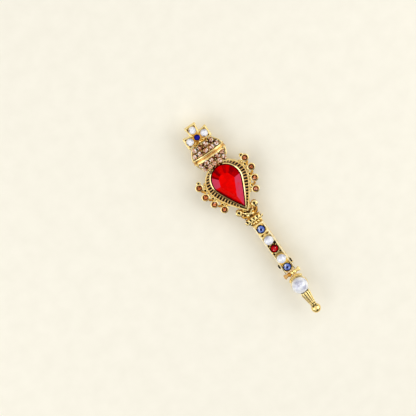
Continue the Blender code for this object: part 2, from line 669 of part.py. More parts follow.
def make_collars(gold):
    core_half = 0.62 * RUFF_HALF_WIDTH
    core = [(-core_half, 0), (core_half, 0), (core_half, RUFF_LENGTH), (-core_half, RUFF_LENGTH)]
    ruff = prism(core, 0, 0.6 * RUFF_HEIGHT)
    leaves = []
    leaf_half = 0.30 * RUFF_HALF_WIDTH
    for i in range(RUFF_LEAVES):
        spread = 2 * i / (RUFF_LEAVES - 1) - 1
        x = spread * (RUFF_HALF_WIDTH - leaf_half)
        y = RUFF_LENGTH * (RUFF_LEAF_AT + RUFF_SIDE_SHIFT * abs(spread))
        z = RUFF_HEIGHT * (RUFF_LEAF_RISE - RUFF_SIDE_DROP * abs(spread))
        radii = (leaf_half, 0.40 * RUFF_LENGTH, 0.38 * RUFF_HEIGHT)
        leaves.append(ellipsoid((x, y, z), radii, SMALL_STEPS))
    node("leaf_ruff", joined(ruff, *leaves), gold, (0, RUFF_Y, 0))

    volute_y = SCROLL_LENGTH - 1.25 * VOLUTE_RADIUS
    knot_y = 0.95 * KNOT_RADIUS
    low, high = 0.10 * SCROLL_LENGTH, volute_y - 0.9 * VOLUTE_RADIUS
    bridge = prism(
        [
            (-SCROLL_FOOT_HALF, low), (SCROLL_FOOT_HALF, low), (VOLUTE_HALF_SPACING, high),
            (VOLUTE_HALF_SPACING, volute_y), (0, 0.42 * SCROLL_LENGTH), (-VOLUTE_HALF_SPACING, volute_y),
            (-VOLUTE_HALF_SPACING, high),
        ],
        0, 0.7 * VOLUTE_HEIGHT,
    )
    knot_radii = (1.25 * KNOT_RADIUS, 0.9 * KNOT_RADIUS, 0.6 * VOLUTE_HEIGHT)
    shapes = [ellipsoid((0, knot_y, 0.62 * VOLUTE_HEIGHT), knot_radii, SMALL_STEPS)]
    for side in (-1, 1):
        rim = arc((side * VOLUTE_HALF_SPACING, volute_y), VOLUTE_RADIUS, 0, math.tau * 15 / 16, 15)
        shapes.append(prism(rim, 0.05 * VOLUTE_HEIGHT, VOLUTE_HEIGHT))
    scroll = joined(bridge, *shapes)
    nest_outline = [(x, y + PEAR_Y - SCROLL_Y) for x, y in frame_outline(JOINT_GAP, PEAR_STEPS)]
    nest = prism(nest_outline, -VOLUTE_HEIGHT, 3 * VOLUTE_HEIGHT)
    reach = 2 * (VOLUTE_HALF_SPACING + KNOT_RADIUS)
    below = block((-reach, -SCROLL_LENGTH, -VOLUTE_HEIGHT), (reach, 2 * SCROLL_LENGTH, 0))
    node("scroll_collar", cut(scroll, nest, below), gold, (0, SCROLL_Y, 0))


# Pear stone and its setting

def make_pear(gold, ruby):
    seat = BEZEL_FLOOR + STONE_GAP
    girdle = seat + STONE_PAVILION
    rim = girdle + STONE_GIRDLE + BEZEL_LIP
    cup = loft([
        at_height(stone_outline(BEZEL_GROW, PEAR_STEPS), 0),
        at_height(stone_outline(BEZEL_GROW, PEAR_STEPS), rim),
        at_height(stone_outline(STONE_GAP, PEAR_STEPS), rim),
        at_height(stone_outline(STONE_GAP, PEAR_STEPS), BEZEL_FLOOR),
    ])
    node("pear_bezel", cup, gold)

    rings = [(0.30, seat), (1.0, girdle), (1.0, girdle + STONE_GIRDLE)]
    rings += [(0.84, girdle + STONE_GIRDLE + 0.52 * STONE_CROWN)]
    rings += [(STONE_TABLE_SHARE, girdle + STONE_GIRDLE + STONE_CROWN)]
    girdle_line = stone_outline(0, PEAR_STEPS // 2)
    stone = loft([at_height([(x * share, y * share) for x, y in girdle_line], z) for share, z in rings])
    node("pear_stone", stone, ruby, smooth=False)

    node("ribbed_frame", ribbed_frame(), gold)


def ribbed_frame():
    """A ring round the bezel: a plain rim outside, and ribs across the channel inside it."""
    def outer_at(share):
        return Vector(pear_point(FRAME_HALF_WIDTH, FRAME_TOP_HEIGHT, FRAME_TIP_DEPTH, share))

    def inner_at(share):
        grow = FRAME_INNER_GROW
        tip = STONE_TIP_DEPTH + TIP_STRETCH * grow
        return Vector(pear_point(STONE_HALF_WIDTH + grow, STONE_TOP_HEIGHT + grow, tip, share))

    sections = []
    for i, share in enumerate(even_shares(outer_at, 2 * RIBS)):
        inner, outer = inner_at(share), outer_at(share)
        across = (outer - inner).normalized()
        edge = outer - across * min(FRAME_RIM, 0.45 * (outer - inner).length)
        top = RIB_HEIGHT if i % 2 else GROOVE_HEIGHT
        corners = [(inner, 0), (inner, top), (edge, top)]
        corners += [(edge, FRAME_HEIGHT), (outer, FRAME_HEIGHT), (outer, 0)]
        sections.append([Vector((p.x, p.y + PEAR_Y, z)) for p, z in corners])
    return loft(sections, closed=True)


# Side collets

def side_middles():
    """Middles of the cups on the right, evenly spaced along a line outside the frame."""
    fine = 400
    outline = frame_outline(SIDE_STEM_LENGTH + SIDE_CUP_RADIUS, fine)
    line = [Vector(point) for point in outline[: fine // 2]]
    line.reverse()
    found = []
    for point in line:
        if not found:
            if point.y <= SIDE_FIRST_RISE:
                found.append(point)
        elif (point - found[-1]).length >= 2 * SIDE_CUP_RADIUS + SIDE_SPACE:
            found.append(point)
        if len(found) == SIDE_STONES:
            break
    found[0].x += SIDE_FIRST_OUT
    return found


def make_side_collets(gold, champagne):
    cup = [(0, SIDE_CUP_FLOOR), (SIDE_CUP_BORE, SIDE_CUP_FLOOR), (SIDE_CUP_BORE, SIDE_CUP_HEIGHT)]
    cup += [(SIDE_CUP_RADIUS, SIDE_CUP_HEIGHT), (SIDE_CUP_RADIUS, 0), (0, 0)]
    middles = side_middles()
    girdle = SIDE_CUP_HEIGHT - SET_DEPTH
    depth = girdle - SIDE_CUP_FLOOR - STONE_GAP
    for name, side in {"left": -1, "right": 1}.items():
        row = side_rail(side, middles)
        for middle in middles:
            place = moved(turned(cup, SMALL_STEPS), side * middle.x, middle.y)
            row = joined(row, joined(side_stem(middle, side), place))
        node(name + "_side_collets", row, gold, (0, PEAR_Y, 0))
        for i, middle in enumerate(middles):
            stone = round_stone(SIDE_STONE_RADIUS, SIDE_STONE_CROWN, depth)
            place = (side * middle.x, PEAR_Y + middle.y, girdle)
            node(f"{name}_side_stone_{i + 1}", stone, champagne, place, smooth=False)


def side_rail(side, middles):
    """A strip that follows the frame's edge from the first cup to the last."""
    fine = 2 * PEAR_STEPS
    inner = frame_outline(JOINT_GAP, fine)[: fine // 2]
    outer = frame_outline(JOINT_GAP + SIDE_RAIL_WIDTH, fine)[: fine // 2]
    spare = 0.6 * SIDE_STEM_WIDTH
    low, high = middles[-1].y - spare, middles[0].y + spare
    kept = [i for i, (x, y) in enumerate(inner) if low <= y <= high]
    strip = [outer[i] for i in kept] + [inner[i] for i in reversed(kept)]
    return prism([(side * x, y) for x, y in strip], 0.05 * SIDE_RAIL_HEIGHT, SIDE_RAIL_HEIGHT)


def side_stem(middle, side):
    """A short bar from the rail out into a cup's wall."""
    fine = 400
    edge = min(
        (Vector(p) for p in frame_outline(JOINT_GAP + 0.5 * SIDE_RAIL_WIDTH, fine)[: fine // 2]),
        key=lambda p: (p - middle).length,
    )
    along = (middle - edge).normalized()
    across = Vector((-along.y, along.x)) * SIDE_STEM_WIDTH / 2
    end = middle - along * (SIDE_CUP_BORE + 0.5 * SIDE_CUP_WALL)
    corners = [edge - across, end - across, end + across, edge + across]
    return prism([(side * p.x, p.y) for p in corners], 0.15 * SIDE_RAIL_HEIGHT, 0.85 * SIDE_RAIL_HEIGHT)


# Orb

def orb_half_width(y):
    """Half the orb's width at a height above its foot, without the grooves."""
    if y < BAND_AT:
        reach, end = BAND_AT, ORB_FOOT_HALF_WIDTH
    else:
        reach, end = ORB_LENGTH - BAND_AT, ORB_CROWN_HALF_WIDTH
    return ORB_HALF_WIDTH - (ORB_HALF_WIDTH - end) * ((y - BAND_AT) / reach) ** 2


def orb_rows():
    """Heights of the four rows of stones above the orb's foot."""
    below, above = BAND_AT - ORB_ROW_TO_BAND, BAND_AT + ORB_ROW_TO_BAND
    return [below - ORB_ROW_PITCH, below, above, above + ORB_ROW_PITCH]


def half_ellipse(half_width, y):
    return [
        Vector((x, y, ORB_DEPTH_SHARE * z))
        for x, z in arc((0, 0), half_width, 0, math.pi, ARC_STEPS)
    ]


def make_orb(gold, champagne):
    levels = [0.0, 0.5 * (orb_rows()[0] - ORB_STONE_RADIUS)]
    for row in orb_rows():
        levels += [row - 0.85 * ORB_STONE_RADIUS, row + 0.85 * ORB_STONE_RADIUS]
    levels += [ORB_LENGTH]
    floors = [orb_half_width(0.0), orb_half_width(levels[1])]
    floors += [orb_half_width(y) - ORB_GROOVE for y in levels[2:-1]]
    floors += [orb_half_width(ORB_LENGTH)]
    shell = loft([half_ellipse(a, y) for a, y in zip(floors, levels)])
    shoulder = [(x, y + PEAR_Y - ORB_Y) for x, y in frame_outline(JOINT_GAP, 2 * PEAR_STEPS)]
    node("orb_shell", cut(shell, prism(shoulder, -ORB_HALF_WIDTH, 2 * ORB_HALF_WIDTH)), gold, (0, ORB_Y, 0))

    inner = orb_half_width(BAND_AT) - ORB_GROOVE + 1.2 * JOINT_GAP
    outer = inner + BAND_THICKNESS
    crest = outer + BAND_SWELL
    ring = [(inner, -0.5), (outer, -0.5), (crest, -0.2), (crest, 0.2), (outer, 0.5), (inner, 0.5)]
    sections = []
    for x, z in arc((0, 0), 1.0, 0, math.pi, ARC_STEPS):
        out = Vector((x, 0, ORB_DEPTH_SHARE * z))
        sections.append([out * r + Vector((0, s * BAND_WIDTH, 0)) for r, s in ring])
    node("orb_band", loft(sections), gold, (0, ORB_Y + BAND_AT, 0))

    for number, (y, (count, pitch)) in enumerate(zip(orb_rows(), ORB_ROWS), start=1):
        node(f"orb_stone_row_{number}", orb_row(y, count, pitch), champagne, (0, ORB_Y, 0), smooth=False)


def orb_row(y, count, pitch):
    """Stones on a strip round the front of the orb, each facing straight out of it."""
    half_width = orb_half_width(y) - ORB_GROOVE
    lift = 1.8 * JOINT_GAP + ORB_STONE_PAVILION
    places = even_places(half_width, lift, pitch, count)
    strip = []
    for point, normal in places:
        middle = Vector((point.x, y, point.y))
        out = Vector((normal.x, 0, normal.y))
        high, low = middle - out * 0.3 * ORB_STRIP_THICKNESS, middle - out * 1.3 * ORB_STRIP_THICKNESS
        across = Vector((0, ORB_STRIP_WIDTH / 2, 0))
        strip.append([low - across, low + across, high + across, high - across])
    row = loft(strip)
    for point, normal in places:
        stone = round_stone(ORB_STONE_RADIUS, ORB_STONE_CROWN, ORB_STONE_PAVILION)
        joined(row, moved(turned_to(stone, normal), point.x, y, point.y))
    return row


def even_places(half_width, lift, pitch, count):
    """Points a pitch apart on an ellipse lifted off the orb, with its normals, from left to right."""
    def lifted(angle):
        normal = Vector((ORB_DEPTH_SHARE * math.sin(angle), math.cos(angle))).normalized()
        surface = Vector((half_width * math.sin(angle), ORB_DEPTH_SHARE * half_width * math.cos(angle)))
        return surface + normal * lift, normal

    fine = 2000
    reach = (count - 1) / 2
    places = []
    walked, last = 0.0, lifted(0.0)[0]
    wanted = pitch * (reach - math.floor(reach))
    for i in range(fine):
        here, normal = lifted(math.pi / 2 * i / fine)
        walked += (here - last).length
        last = here
        if walked >= wanted and wanted <= pitch * reach + MERGE:
            places.append((here, normal))
            wanted += pitch
    mirrored = [
        (Vector((-here.x, here.y)), Vector((-normal.x, normal.y)))
        for here, normal in reversed(places)
        if here.x > MERGE
    ]
    return mirrored + places


# Cross

def make_cross(gold, crystal, sapphire):
    arm = [(CROSS_NOTCH, CROSS_NOTCH), (CROSS_END_HALF_WIDTH, CROSS_TOP_ARM)]
    arm += [(-CROSS_END_HALF_WIDTH, CROSS_TOP_ARM), (-CROSS_NOTCH, CROSS_NOTCH)]
    left = [(-CROSS_HALF_SPAN, CROSS_END_HALF_WIDTH), (-CROSS_HALF_SPAN, -CROSS_END_HALF_WIDTH)]
    foot = [(-CROSS_NOTCH, -CROSS_NOTCH), (-CROSS_END_HALF_WIDTH, -CROSS_LOWER_ARM)]
    foot += [(CROSS_END_HALF_WIDTH, -CROSS_LOWER_ARM), (CROSS_NOTCH, -CROSS_NOTCH)]
    right = [(CROSS_HALF_SPAN, -CROSS_END_HALF_WIDTH), (CROSS_HALF_SPAN, CROSS_END_HALF_WIDTH)]
    bm = bmesh.new()
    face = bm.faces.new([bm.verts.new((x, y, 0)) for x, y in arm + left + foot + right])
    risen = bmesh.ops.extrude_face_region(bm, geom=[face])["geom"]
    corners = [g for g in risen if isinstance(g, bmesh.types.BMVert)]
    bmesh.ops.translate(bm, verts=corners, vec=(0, 0, CROSS_HEIGHT))
    top = next(g for g in risen if isinstance(g, bmesh.types.BMFace))
    bmesh.ops.inset_region(bm, faces=[top], thickness=CROSS_RIM, use_even_offset=True)
    sunk = bmesh.ops.extrude_discrete_faces(bm, faces=[top])["faces"]
    bmesh.ops.translate(bm, verts=sunk[0].verts, vec=(0, 0, -CROSS_RECESS))
    cross = solid(bm)

    stones = {
        "cross_crystal_top": (0, CROSS_STONE_AT, CROSS_STONE_RADIUS, crystal),
        "cross_crystal_left": (-CROSS_STONE_AT, 0, CROSS_STONE_RADIUS, crystal),
        "cross_crystal_right": (CROSS_STONE_AT, 0, CROSS_STONE_RADIUS, crystal),
        "cross_sapphire": (0, 0, CROSS_CENTRE_RADIUS, sapphire),
    }
    floor = CROSS_HEIGHT - CROSS_RECESS
    for name, (x, y, radius, material) in stones.items():
        pit = turned(
            [(0, 2 * CROSS_HEIGHT), (radius + STONE_GAP, 2 * CROSS_HEIGHT),
             (radius + STONE_GAP, CROSS_PIT_FLOOR), (0, CROSS_PIT_FLOOR)],
            SMALL_STEPS,
        )
        cut(cross, moved(pit, x, y))
        girdle = floor + CROSS_STONE_RISE
        stone = round_stone(radius, CROSS_STONE_CROWN, girdle - CROSS_PIT_FLOOR - STONE_GAP)
        node(name, stone, material, (x, CROSS_Y + y, girdle), smooth=False)
    node("cross", cross, gold, (0, CROSS_Y, 0))


# Pin, hinge and catch

def make_back_bar(gold):
    low, high = CATCH_Y - BAR_END, HINGE_Y + BAR_END
    outline = arc((0, high - BAR_HALF_WIDTH), BAR_HALF_WIDTH, 0, math.pi, 8)
    outline += arc((0, low + BAR_HALF_WIDTH), BAR_HALF_WIDTH, math.pi, math.tau, 8)
    bar = prism(outline, BAR_BACK_Z, BAR_TOP_Z)
    span = HINGE_Y - CATCH_Y
    for share in (0.25, 0.5, 0.75):
        hole = arc((0, CATCH_Y + share * span), BAR_HOLE_RADIUS, 0, math.tau * 15 / 16, 15)
        cut(bar, prism(hole, 2 * BAR_BACK_Z, BAR_THICKNESS))
    node("back_bar", bar, gold)


def make_hinge(gold, steel):
    top = STEM_CLEARANCE - JOINT_GAP
    across = BAR_HALF_WIDTH - HINGE_INSET
    plate = block((-across, -EAR_HALF_WIDTH, top - HINGE_PLATE), (across, EAR_HALF_WIDTH, top))
    side = 0.96 * EAR_HALF_WIDTH
    flat = 0.62 * EAR_HALF_WIDTH
    right = [(flat, -JAW_DROP), (side, -0.45 * JAW_DROP), (side, top - 0.5 * HINGE_PLATE)]
    outline = right + [(-y, z) for y, z in reversed(right)]
    ears = [
        prism(outline, -EAR_OUTER, -EAR_INNER, "X"),
        prism(outline, EAR_INNER, EAR_OUTER, "X"),
    ]
    bracket = joined(plate, *ears)
    bore = RIVET_RADIUS + RIVET_GAP
    through = 2 * EAR_OUTER
    drill = turned([(0, through), (bore, through), (bore, -through), (0, -through)], SMALL_STEPS, "X")
    node("hinge_bracket", cut(bracket, drill), gold, (0, HINGE_Y, STEM_Z))

    reach = EAR_OUTER + RIVET_GAP
    head = reach + RIVET_HEAD
    profile = [(0, head), (0.6 * RIVET_HEAD_RADIUS, head), (RIVET_HEAD_RADIUS, reach), (RIVET_RADIUS, reach)]
    profile += [(r, -h) for r, h in reversed(profile)]
    node("hinge_rivet", turned(profile, SMALL_STEPS, "X"), steel, (0, HINGE_Y, STEM_Z))


def make_pin_stem(steel):
    """The pin: a flat eye on the rivet, a round wire and a point. Its origin is on the hinge's axis."""
    half = EYE_HALF_THICKNESS
    ring = [(EYE_HOLE, half), (EYE_RADIUS, half), (EYE_RADIUS, -half), (EYE_HOLE, -half)]
    eye = turned(ring, ROUND_STEPS, "X", closed=True)
    start = 0.5 * (EYE_HOLE + EYE_RADIUS)
    length = HINGE_Y - CATCH_Y + STEM_PAST_CATCH
    wire = turned(
        [(0, -start), (0.92 * STEM_RADIUS, -start), (STEM_RADIUS, -2 * EYE_RADIUS),
         (STEM_RADIUS, STEM_POINT - length), (0.6 * STEM_RADIUS, 0.4 * STEM_POINT - length), (0, -length)],
        SMALL_STEPS, "Y",
    )
    node("pin_stem", joined(eye, wire), steel, (0, HINGE_Y, STEM_Z))


def make_catch(gold):
    half = CATCH_LENGTH / 2
    mouth = CATCH_MOUTH_HALF_ANGLE
    down = -math.pi / 2
    foot_half = 0.62 * CATCH_OUTER
    foot_top = STEM_CLEARANCE - JOINT_GAP
    foot_angle = math.acos(foot_half / CATCH_OUTER)
    outer = arc((0, 0), CATCH_OUTER, down + mouth, foot_angle, 7)
    outer += [(foot_half, foot_top), (-foot_half, foot_top)]
    outer += arc((0, 0), CATCH_OUTER, math.pi - foot_angle, math.tau + down - mouth, 7)
    inner = arc((0, 0), CATCH_INNER, math.tau + down - mouth, down + mouth, 24)
    node("catch_bracket", prism(outer + inner, -half, half, "Y"), gold, (0, CATCH_Y, STEM_Z))

    low = half + RUNNING_GAP
    high = low + ROTOR_FLANGE_THICKNESS
    profile = [(ROTOR_BORE, -high), (ROTOR_RIM, -high), (ROTOR_RIM, -low), (ROTOR_RADIUS, -low)]
    profile += [(r, -y) for r, y in reversed(profile)]
    start, end = down + ROTOR_SLOT_HALF_ANGLE, math.tau + down - ROTOR_SLOT_HALF_ANGLE
    sections = []
    for i in range(ROUND_STEPS + 1):
        angle = start + (end - start) * i / ROUND_STEPS
        sections.append([Vector((r * math.cos(angle), y, r * math.sin(angle))) for r, y in profile])
    rotor = loft(sections)
    inset = 0.15 * ROTOR_FLANGE_THICKNESS
    reach = ROTOR_RIM + LEVER_LENGTH
    lever = block((ROTOR_RADIUS, -high + inset, -LEVER_HALF_WIDTH), (reach, -low - inset, LEVER_HALF_WIDTH))
    thumb_radii = (THUMB_RADIUS, 0.75 * THUMB_RADIUS, THUMB_RADIUS)
    thumb = ellipsoid((reach, -0.5 * (low + high), 0), thumb_radii, SMALL_STEPS)
    for shape in (lever, thumb):
        shape.data.transform(Matrix.Rotation(-LEVER_ANGLE, 4, "Y"))
    node("catch_rotor", joined(rotor, lever, thumb), gold, (0, CATCH_Y, STEM_Z))


def main():
    for old in list(bpy.data.objects):
        bpy.data.objects.remove(old)
    sceptre = bpy.data.objects.new("sceptre", None)
    bpy.context.scene.collection.objects.link(sceptre)
    sceptre.location = (0, -OVERALL_LENGTH / 2, -FLOOR_Z)

    gold = metal("gold_plate", (0.83, 0.60, 0.20), 0.22)
    steel = metal("gilt_steel", (0.80, 0.62, 0.30), 0.28)
    pearl = finish("pearl", (0.90, 0.88, 0.88), 0.25, 0.0)
    ruby = gem("ruby_glass", (0.72, 0.01, 0.02))
    garnet = gem("garnet_glass", (0.55, 0.01, 0.02))
    sapphire = gem("sapphire_glass", (0.01, 0.01, 0.45))
    light_sapphire = gem("light_sapphire_glass", (0.20, 0.32, 0.80))
    crystal = gem("crystal_glass", (0.92, 0.92, 0.95))
    champagne = gem("champagne_glass", (0.62, 0.34, 0.20))

    make_tail(gold)
    make_large_pearl(gold, pearl)
    make_crossbar(gold)
    make_staff(gold, pearl, light_sapphire, garnet)
    make_collars(gold)
    make_pear(gold, ruby)
    make_side_collets(gold, champagne)
    make_orb(gold, champagne)
    make_cross(gold, crystal, sapphire)
    make_back_bar(gold)
    make_hinge(gold, steel)
    make_pin_stem(steel)
    make_catch(gold)


main()
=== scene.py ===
# %% [markdown]
# # A sceptre hat pin
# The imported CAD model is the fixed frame: every size and place below is read from it. On the real
# pin each piece is cast, plated and set by hand, so its edges are rounded and its stones are cut.
# Here each node is modelled again with that rounding and cut, in the place the CAD model gives it.

# %% Load the fixed frame
import math
import random

import bmesh
import bpy
from mathutils import Matrix, Vector


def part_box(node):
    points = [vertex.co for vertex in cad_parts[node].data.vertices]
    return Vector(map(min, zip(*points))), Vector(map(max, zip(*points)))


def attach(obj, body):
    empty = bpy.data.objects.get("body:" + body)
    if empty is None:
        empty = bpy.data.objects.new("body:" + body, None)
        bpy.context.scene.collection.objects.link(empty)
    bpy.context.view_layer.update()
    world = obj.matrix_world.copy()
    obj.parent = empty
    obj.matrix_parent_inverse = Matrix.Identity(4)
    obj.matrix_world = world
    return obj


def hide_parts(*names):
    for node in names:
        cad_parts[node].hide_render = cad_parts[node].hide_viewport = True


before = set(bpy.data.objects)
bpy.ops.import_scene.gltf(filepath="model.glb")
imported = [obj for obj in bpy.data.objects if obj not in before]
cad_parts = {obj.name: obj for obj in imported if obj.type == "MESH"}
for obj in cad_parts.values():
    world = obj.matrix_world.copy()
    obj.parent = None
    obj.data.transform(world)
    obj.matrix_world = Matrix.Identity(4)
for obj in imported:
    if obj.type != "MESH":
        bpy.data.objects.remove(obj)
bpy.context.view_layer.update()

MM = 0.001


def span(node):
    """A node's lowest and highest corner, in millimetres."""
    low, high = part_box(node)
    return Vector(low) / MM, Vector(high) / MM


def middle(node):
    low, high = span(node)
    return (low + high) / 2


BACK = span("orb_shell")[0].z
print("nodes:", len(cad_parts), "- the flat back is at", round(BACK, 2), "mm")

# %% [markdown]
# ## The camera
# The pin lies on its back and the camera looks down on it, a little from its head and its right.
# The camera could be shifted to put the pin right of the middle. It is aimed beside the pin
# instead, because a shift would stay in every other view.

# %% Camera
PICTURE_SIZE = 416
PICTURE_SPAN = 151.4 * MM          # what the picture's width covers at the pin
PIN_PIXEL = Vector((254.8, 219.8))  # where the pin's middle lies in the picture
PIN_MIDDLE = Vector((0, 0, 6.5 * MM))
CAMERA_DISTANCE = 0.6
TILT_TO_RIGHT = math.radians(4.5)
TILT_TO_HEAD = math.radians(11.5)
PICTURE_TURN = math.radians(34.5)
SENSOR = 36

toward_camera = Vector((math.tan(TILT_TO_RIGHT), math.tan(TILT_TO_HEAD), 1)).normalized()
picture_up = Vector((math.sin(PICTURE_TURN), math.cos(PICTURE_TURN), 0))


def camera_axes(back):
    """The camera's right, up and backward axes when it looks along -back."""
    right = picture_up.cross(back).normalized()
    return right, back.cross(right), back


right, above, _ = camera_axes(toward_camera)
pixel = PICTURE_SPAN / PICTURE_SIZE
off_centre = Vector((PICTURE_SIZE / 2, PICTURE_SIZE / 2)) - PIN_PIXEL
aim = PIN_MIDDLE + right * off_centre.x * pixel - above * off_centre.y * pixel
stand = PIN_MIDDLE + toward_camera * CAMERA_DISTANCE
axes = camera_axes((stand - aim).normalized())
camera_data = bpy.data.cameras.new("camera")
camera_data.sensor_width = SENSOR
camera_data.lens = SENSOR * CAMERA_DISTANCE / PICTURE_SPAN
camera = bpy.data.objects.new("camera", camera_data)
camera.matrix_world = Matrix.Translation(stand) @ Matrix(axes).transposed().to_4x4()
bpy.context.scene.collection.objects.link(camera)
bpy.context.scene.camera = camera
bpy.context.scene.view_settings.view_transform = "Standard"
print("camera at", [round(v, 3) for v in stand], "lens", round(camera_data.lens, 1))

# %% [markdown]
# ## The studio
# Polished gold shows what stands round it. A light tent is white overhead but for its dark mouth,
# which rounded gold shows as a black dot. A black card beside the piece and a dark foot of the tent
# give gold its dark edges. The world is such a tent, and two large lamps stand beside it.

# %% World
TENT_LIGHT = 0.96
DARK_LIGHT = 0.02
BACKDROP = (0.90, 0.88, 0.83, 1)
# A dark patch: the way to it, and the degrees from its middle to where it ends being black and being seen
TENT_MOUTH = (Vector((-0.05, -0.74, 0.67)), 18, 23)
BLACK_CARD = (Vector((-0.80, 0.55, 0.25)), 16, 32)
TENT_FOOT = (Vector((0, 0, -1)), 97, 130)

world = bpy.data.worlds.new("light_tent")
world.use_nodes = True
bpy.context.scene.world = world
tent = world.node_tree
way = tent.nodes.new("ShaderNodeTexCoord")


def light_beside(direction, core, edge):
    """The tent's light all round, less one dark patch that may be wider than half the sky."""
    facing = tent.nodes.new("ShaderNodeVectorMath")
    facing.operation = "DOT_PRODUCT"
    facing.inputs[1].default_value = direction.normalized()
    tent.links.new(way.outputs["Generated"], facing.inputs[0])
    fade = tent.nodes.new("ShaderNodeMapRange")
    fade.interpolation_type = "SMOOTHSTEP"
    fade.inputs["From Min"].default_value = math.cos(math.radians(edge))
    fade.inputs["From Max"].default_value = math.cos(math.radians(core))
    fade.inputs["To Min"].default_value = TENT_LIGHT
    fade.inputs["To Max"].default_value = DARK_LIGHT
    tent.links.new(facing.outputs["Value"], fade.inputs["Value"])
    return fade.outputs["Result"]


def darker_of(first, second):
    chosen = tent.nodes.new("ShaderNodeMath")
    chosen.operation = "MINIMUM"
    tent.links.new(first, chosen.inputs[0])
    tent.links.new(second, chosen.inputs[1])
    return chosen.outputs["Value"]


strength = darker_of(light_beside(*TENT_MOUTH), light_beside(*BLACK_CARD))
strength = darker_of(strength, light_beside(*TENT_FOOT))
light = tent.nodes["Background"]
light.inputs["Color"].default_value = (1, 0.985, 0.96, 1)
tent.links.new(strength, light.inputs["Strength"])
backdrop = tent.nodes.new("ShaderNodeBackground")
backdrop.inputs["Color"].default_value = BACKDROP
ray = tent.nodes.new("ShaderNodeLightPath")
seen = tent.nodes.new("ShaderNodeMixShader")
tent.links.new(ray.outputs["Is Camera Ray"], seen.inputs["Fac"])
tent.links.new(light.outputs["Background"], seen.inputs[1])
tent.links.new(backdrop.outputs["Background"], seen.inputs[2])
tent.links.new(seen.outputs["Shader"], tent.nodes["World Output"].inputs["Surface"])
print("tent light", TENT_LIGHT)

# %% Lamps
LAMP_SIZE = 0.46


def add_lamp(name, aside, up, back, power):
    """A square soft lamp, placed along the camera's axes and turned to the pin."""
    lamp = bpy.data.lights.new(name, "AREA")
    lamp.size = LAMP_SIZE
    lamp.energy = power
    made = bpy.data.objects.new(name, lamp)
    place = PIN_MIDDLE + right * aside + above * up + toward_camera * back
    made.location = place
    made.rotation_euler = (PIN_MIDDLE - place).to_track_quat("-Z", "Y").to_euler()
    bpy.context.scene.collection.objects.link(made)
    print(name, "at", [round(v, 2) for v in place])


add_lamp("key_lamp", 0.42, 0.10, 0.26, 1.05)
add_lamp("fill_lamp", -0.42, -0.22, 0.26, 0.98)

# %% [markdown]
# ## Helpers for shapes
# A cast piece is many small shapes in one: a turned cup, beads, wires and bars. Each helper makes
# one such shape in millimetres from bmesh operators, and join adds it to a piece. add_piece closes
# the piece, turns its faces outwards, brings it to metres, hangs it on its body and hides its nodes.

# %% Pieces
WELD = 0.0005
ALONG_PIN = Matrix.Rotation(-math.pi / 2, 4, "X")   # a shape's own Z axis runs to the cross
ACROSS_PIN = Matrix.Rotation(math.pi / 2, 4, "Y")   # a shape's own Z axis runs to the right


def at(place, turn=Matrix.Identity(4), stretch=(1, 1, 1)):
    """A shape's place: stretched first, then turned, then moved."""
    return Matrix.Translation(place) @ turn @ Matrix.Diagonal((*stretch, 1))


def around(angle):
    return Matrix.Rotation(angle, 4, "Z")


def join(piece, shape, place=Matrix.Identity(4), material=0):
    """Sets a shape in place and adds it to a piece. With material None it keeps its own finishes."""
    if material is not None:
        for face in shape.faces:
            face.material_index = material
    bmesh.ops.transform(shape, matrix=place, verts=shape.verts)
    carrier = bpy.data.meshes.new("carrier")
    shape.to_mesh(carrier)
    shape.free()
    piece.from_mesh(carrier)
    bpy.data.meshes.remove(carrier)


def add_piece(piece, name, finishes, slot, *nodes, body="sceptre", crease=35):
    """Closes a piece, makes an object of it, hangs it on its body and hides the nodes it stands for."""
    bmesh.ops.remove_doubles(piece, verts=piece.verts, dist=WELD)
    bmesh.ops.recalc_face_normals(piece, faces=piece.faces)
    bmesh.ops.scale(piece, vec=(MM, MM, MM), verts=piece.verts)
    mesh = bpy.data.meshes.new(name)
    piece.to_mesh(mesh)
    piece.free()
    for finish in finishes:
        mesh.materials.append(finish)
    mesh.shade_smooth()
    mesh.set_sharp_from_angle(angle=math.radians(crease))
    made = bpy.data.objects.new(name, mesh)
    bpy.context.scene.collection.objects.link(made)
    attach(made, body)
    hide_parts(*nodes)
    print(f"{name}: {len(mesh.polygons)} faces")
    return made


# %% Shapes
def points_of(geometry):
    return [part for part in geometry if isinstance(part, bmesh.types.BMVert)]


def fill_open_ends(shape):
    open_edges = [edge for edge in shape.edges if edge.is_boundary]
    if open_edges:
        bmesh.ops.holes_fill(shape, edges=open_edges)


def turned(profile, steps=48, angle=math.tau):
    """Spins a line of (radius, height) points about the Z axis, as a lathe does."""
    shape = bmesh.new()
    line = [shape.verts.new((radius, 0, height)) for radius, height in profile]
    edges = [shape.edges.new(pair) for pair in zip(line, line[1:])]
    bmesh.ops.spin(
        shape, geom=line + edges, cent=(0, 0, 0), axis=(0, 0, 1), dvec=(0, 0, 0),
        angle=angle, steps=steps, use_merge=angle == math.tau,
    )
    bmesh.ops.remove_doubles(shape, verts=shape.verts, dist=WELD)
    fill_open_ends(shape)
    return shape


def ball(radius, rings=16):
    shape = bmesh.new()
    bmesh.ops.create_uvsphere(shape, u_segments=2 * rings, v_segments=rings, radius=radius)
    return shape


def bead(radius):
    shape = bmesh.new()
    bmesh.ops.create_icosphere(shape, subdivisions=2, radius=radius)
    return shape


def bevel(shape, edges, width, segments=2):
    bmesh.ops.bevel(
        shape, geom=list(edges), offset=width, offset_type="OFFSET", segments=segments,
        profile=0.5, affect="EDGES", material=-1, clamp_overlap=True,
    )


def bar(size, edge, segments=2):
    """A block with rounded edges, about its middle."""
    shape = bmesh.new()
    bmesh.ops.create_cube(shape, size=1)
    bmesh.ops.scale(shape, vec=size, verts=shape.verts)
    bevel(shape, shape.edges, edge, segments)
    return shape


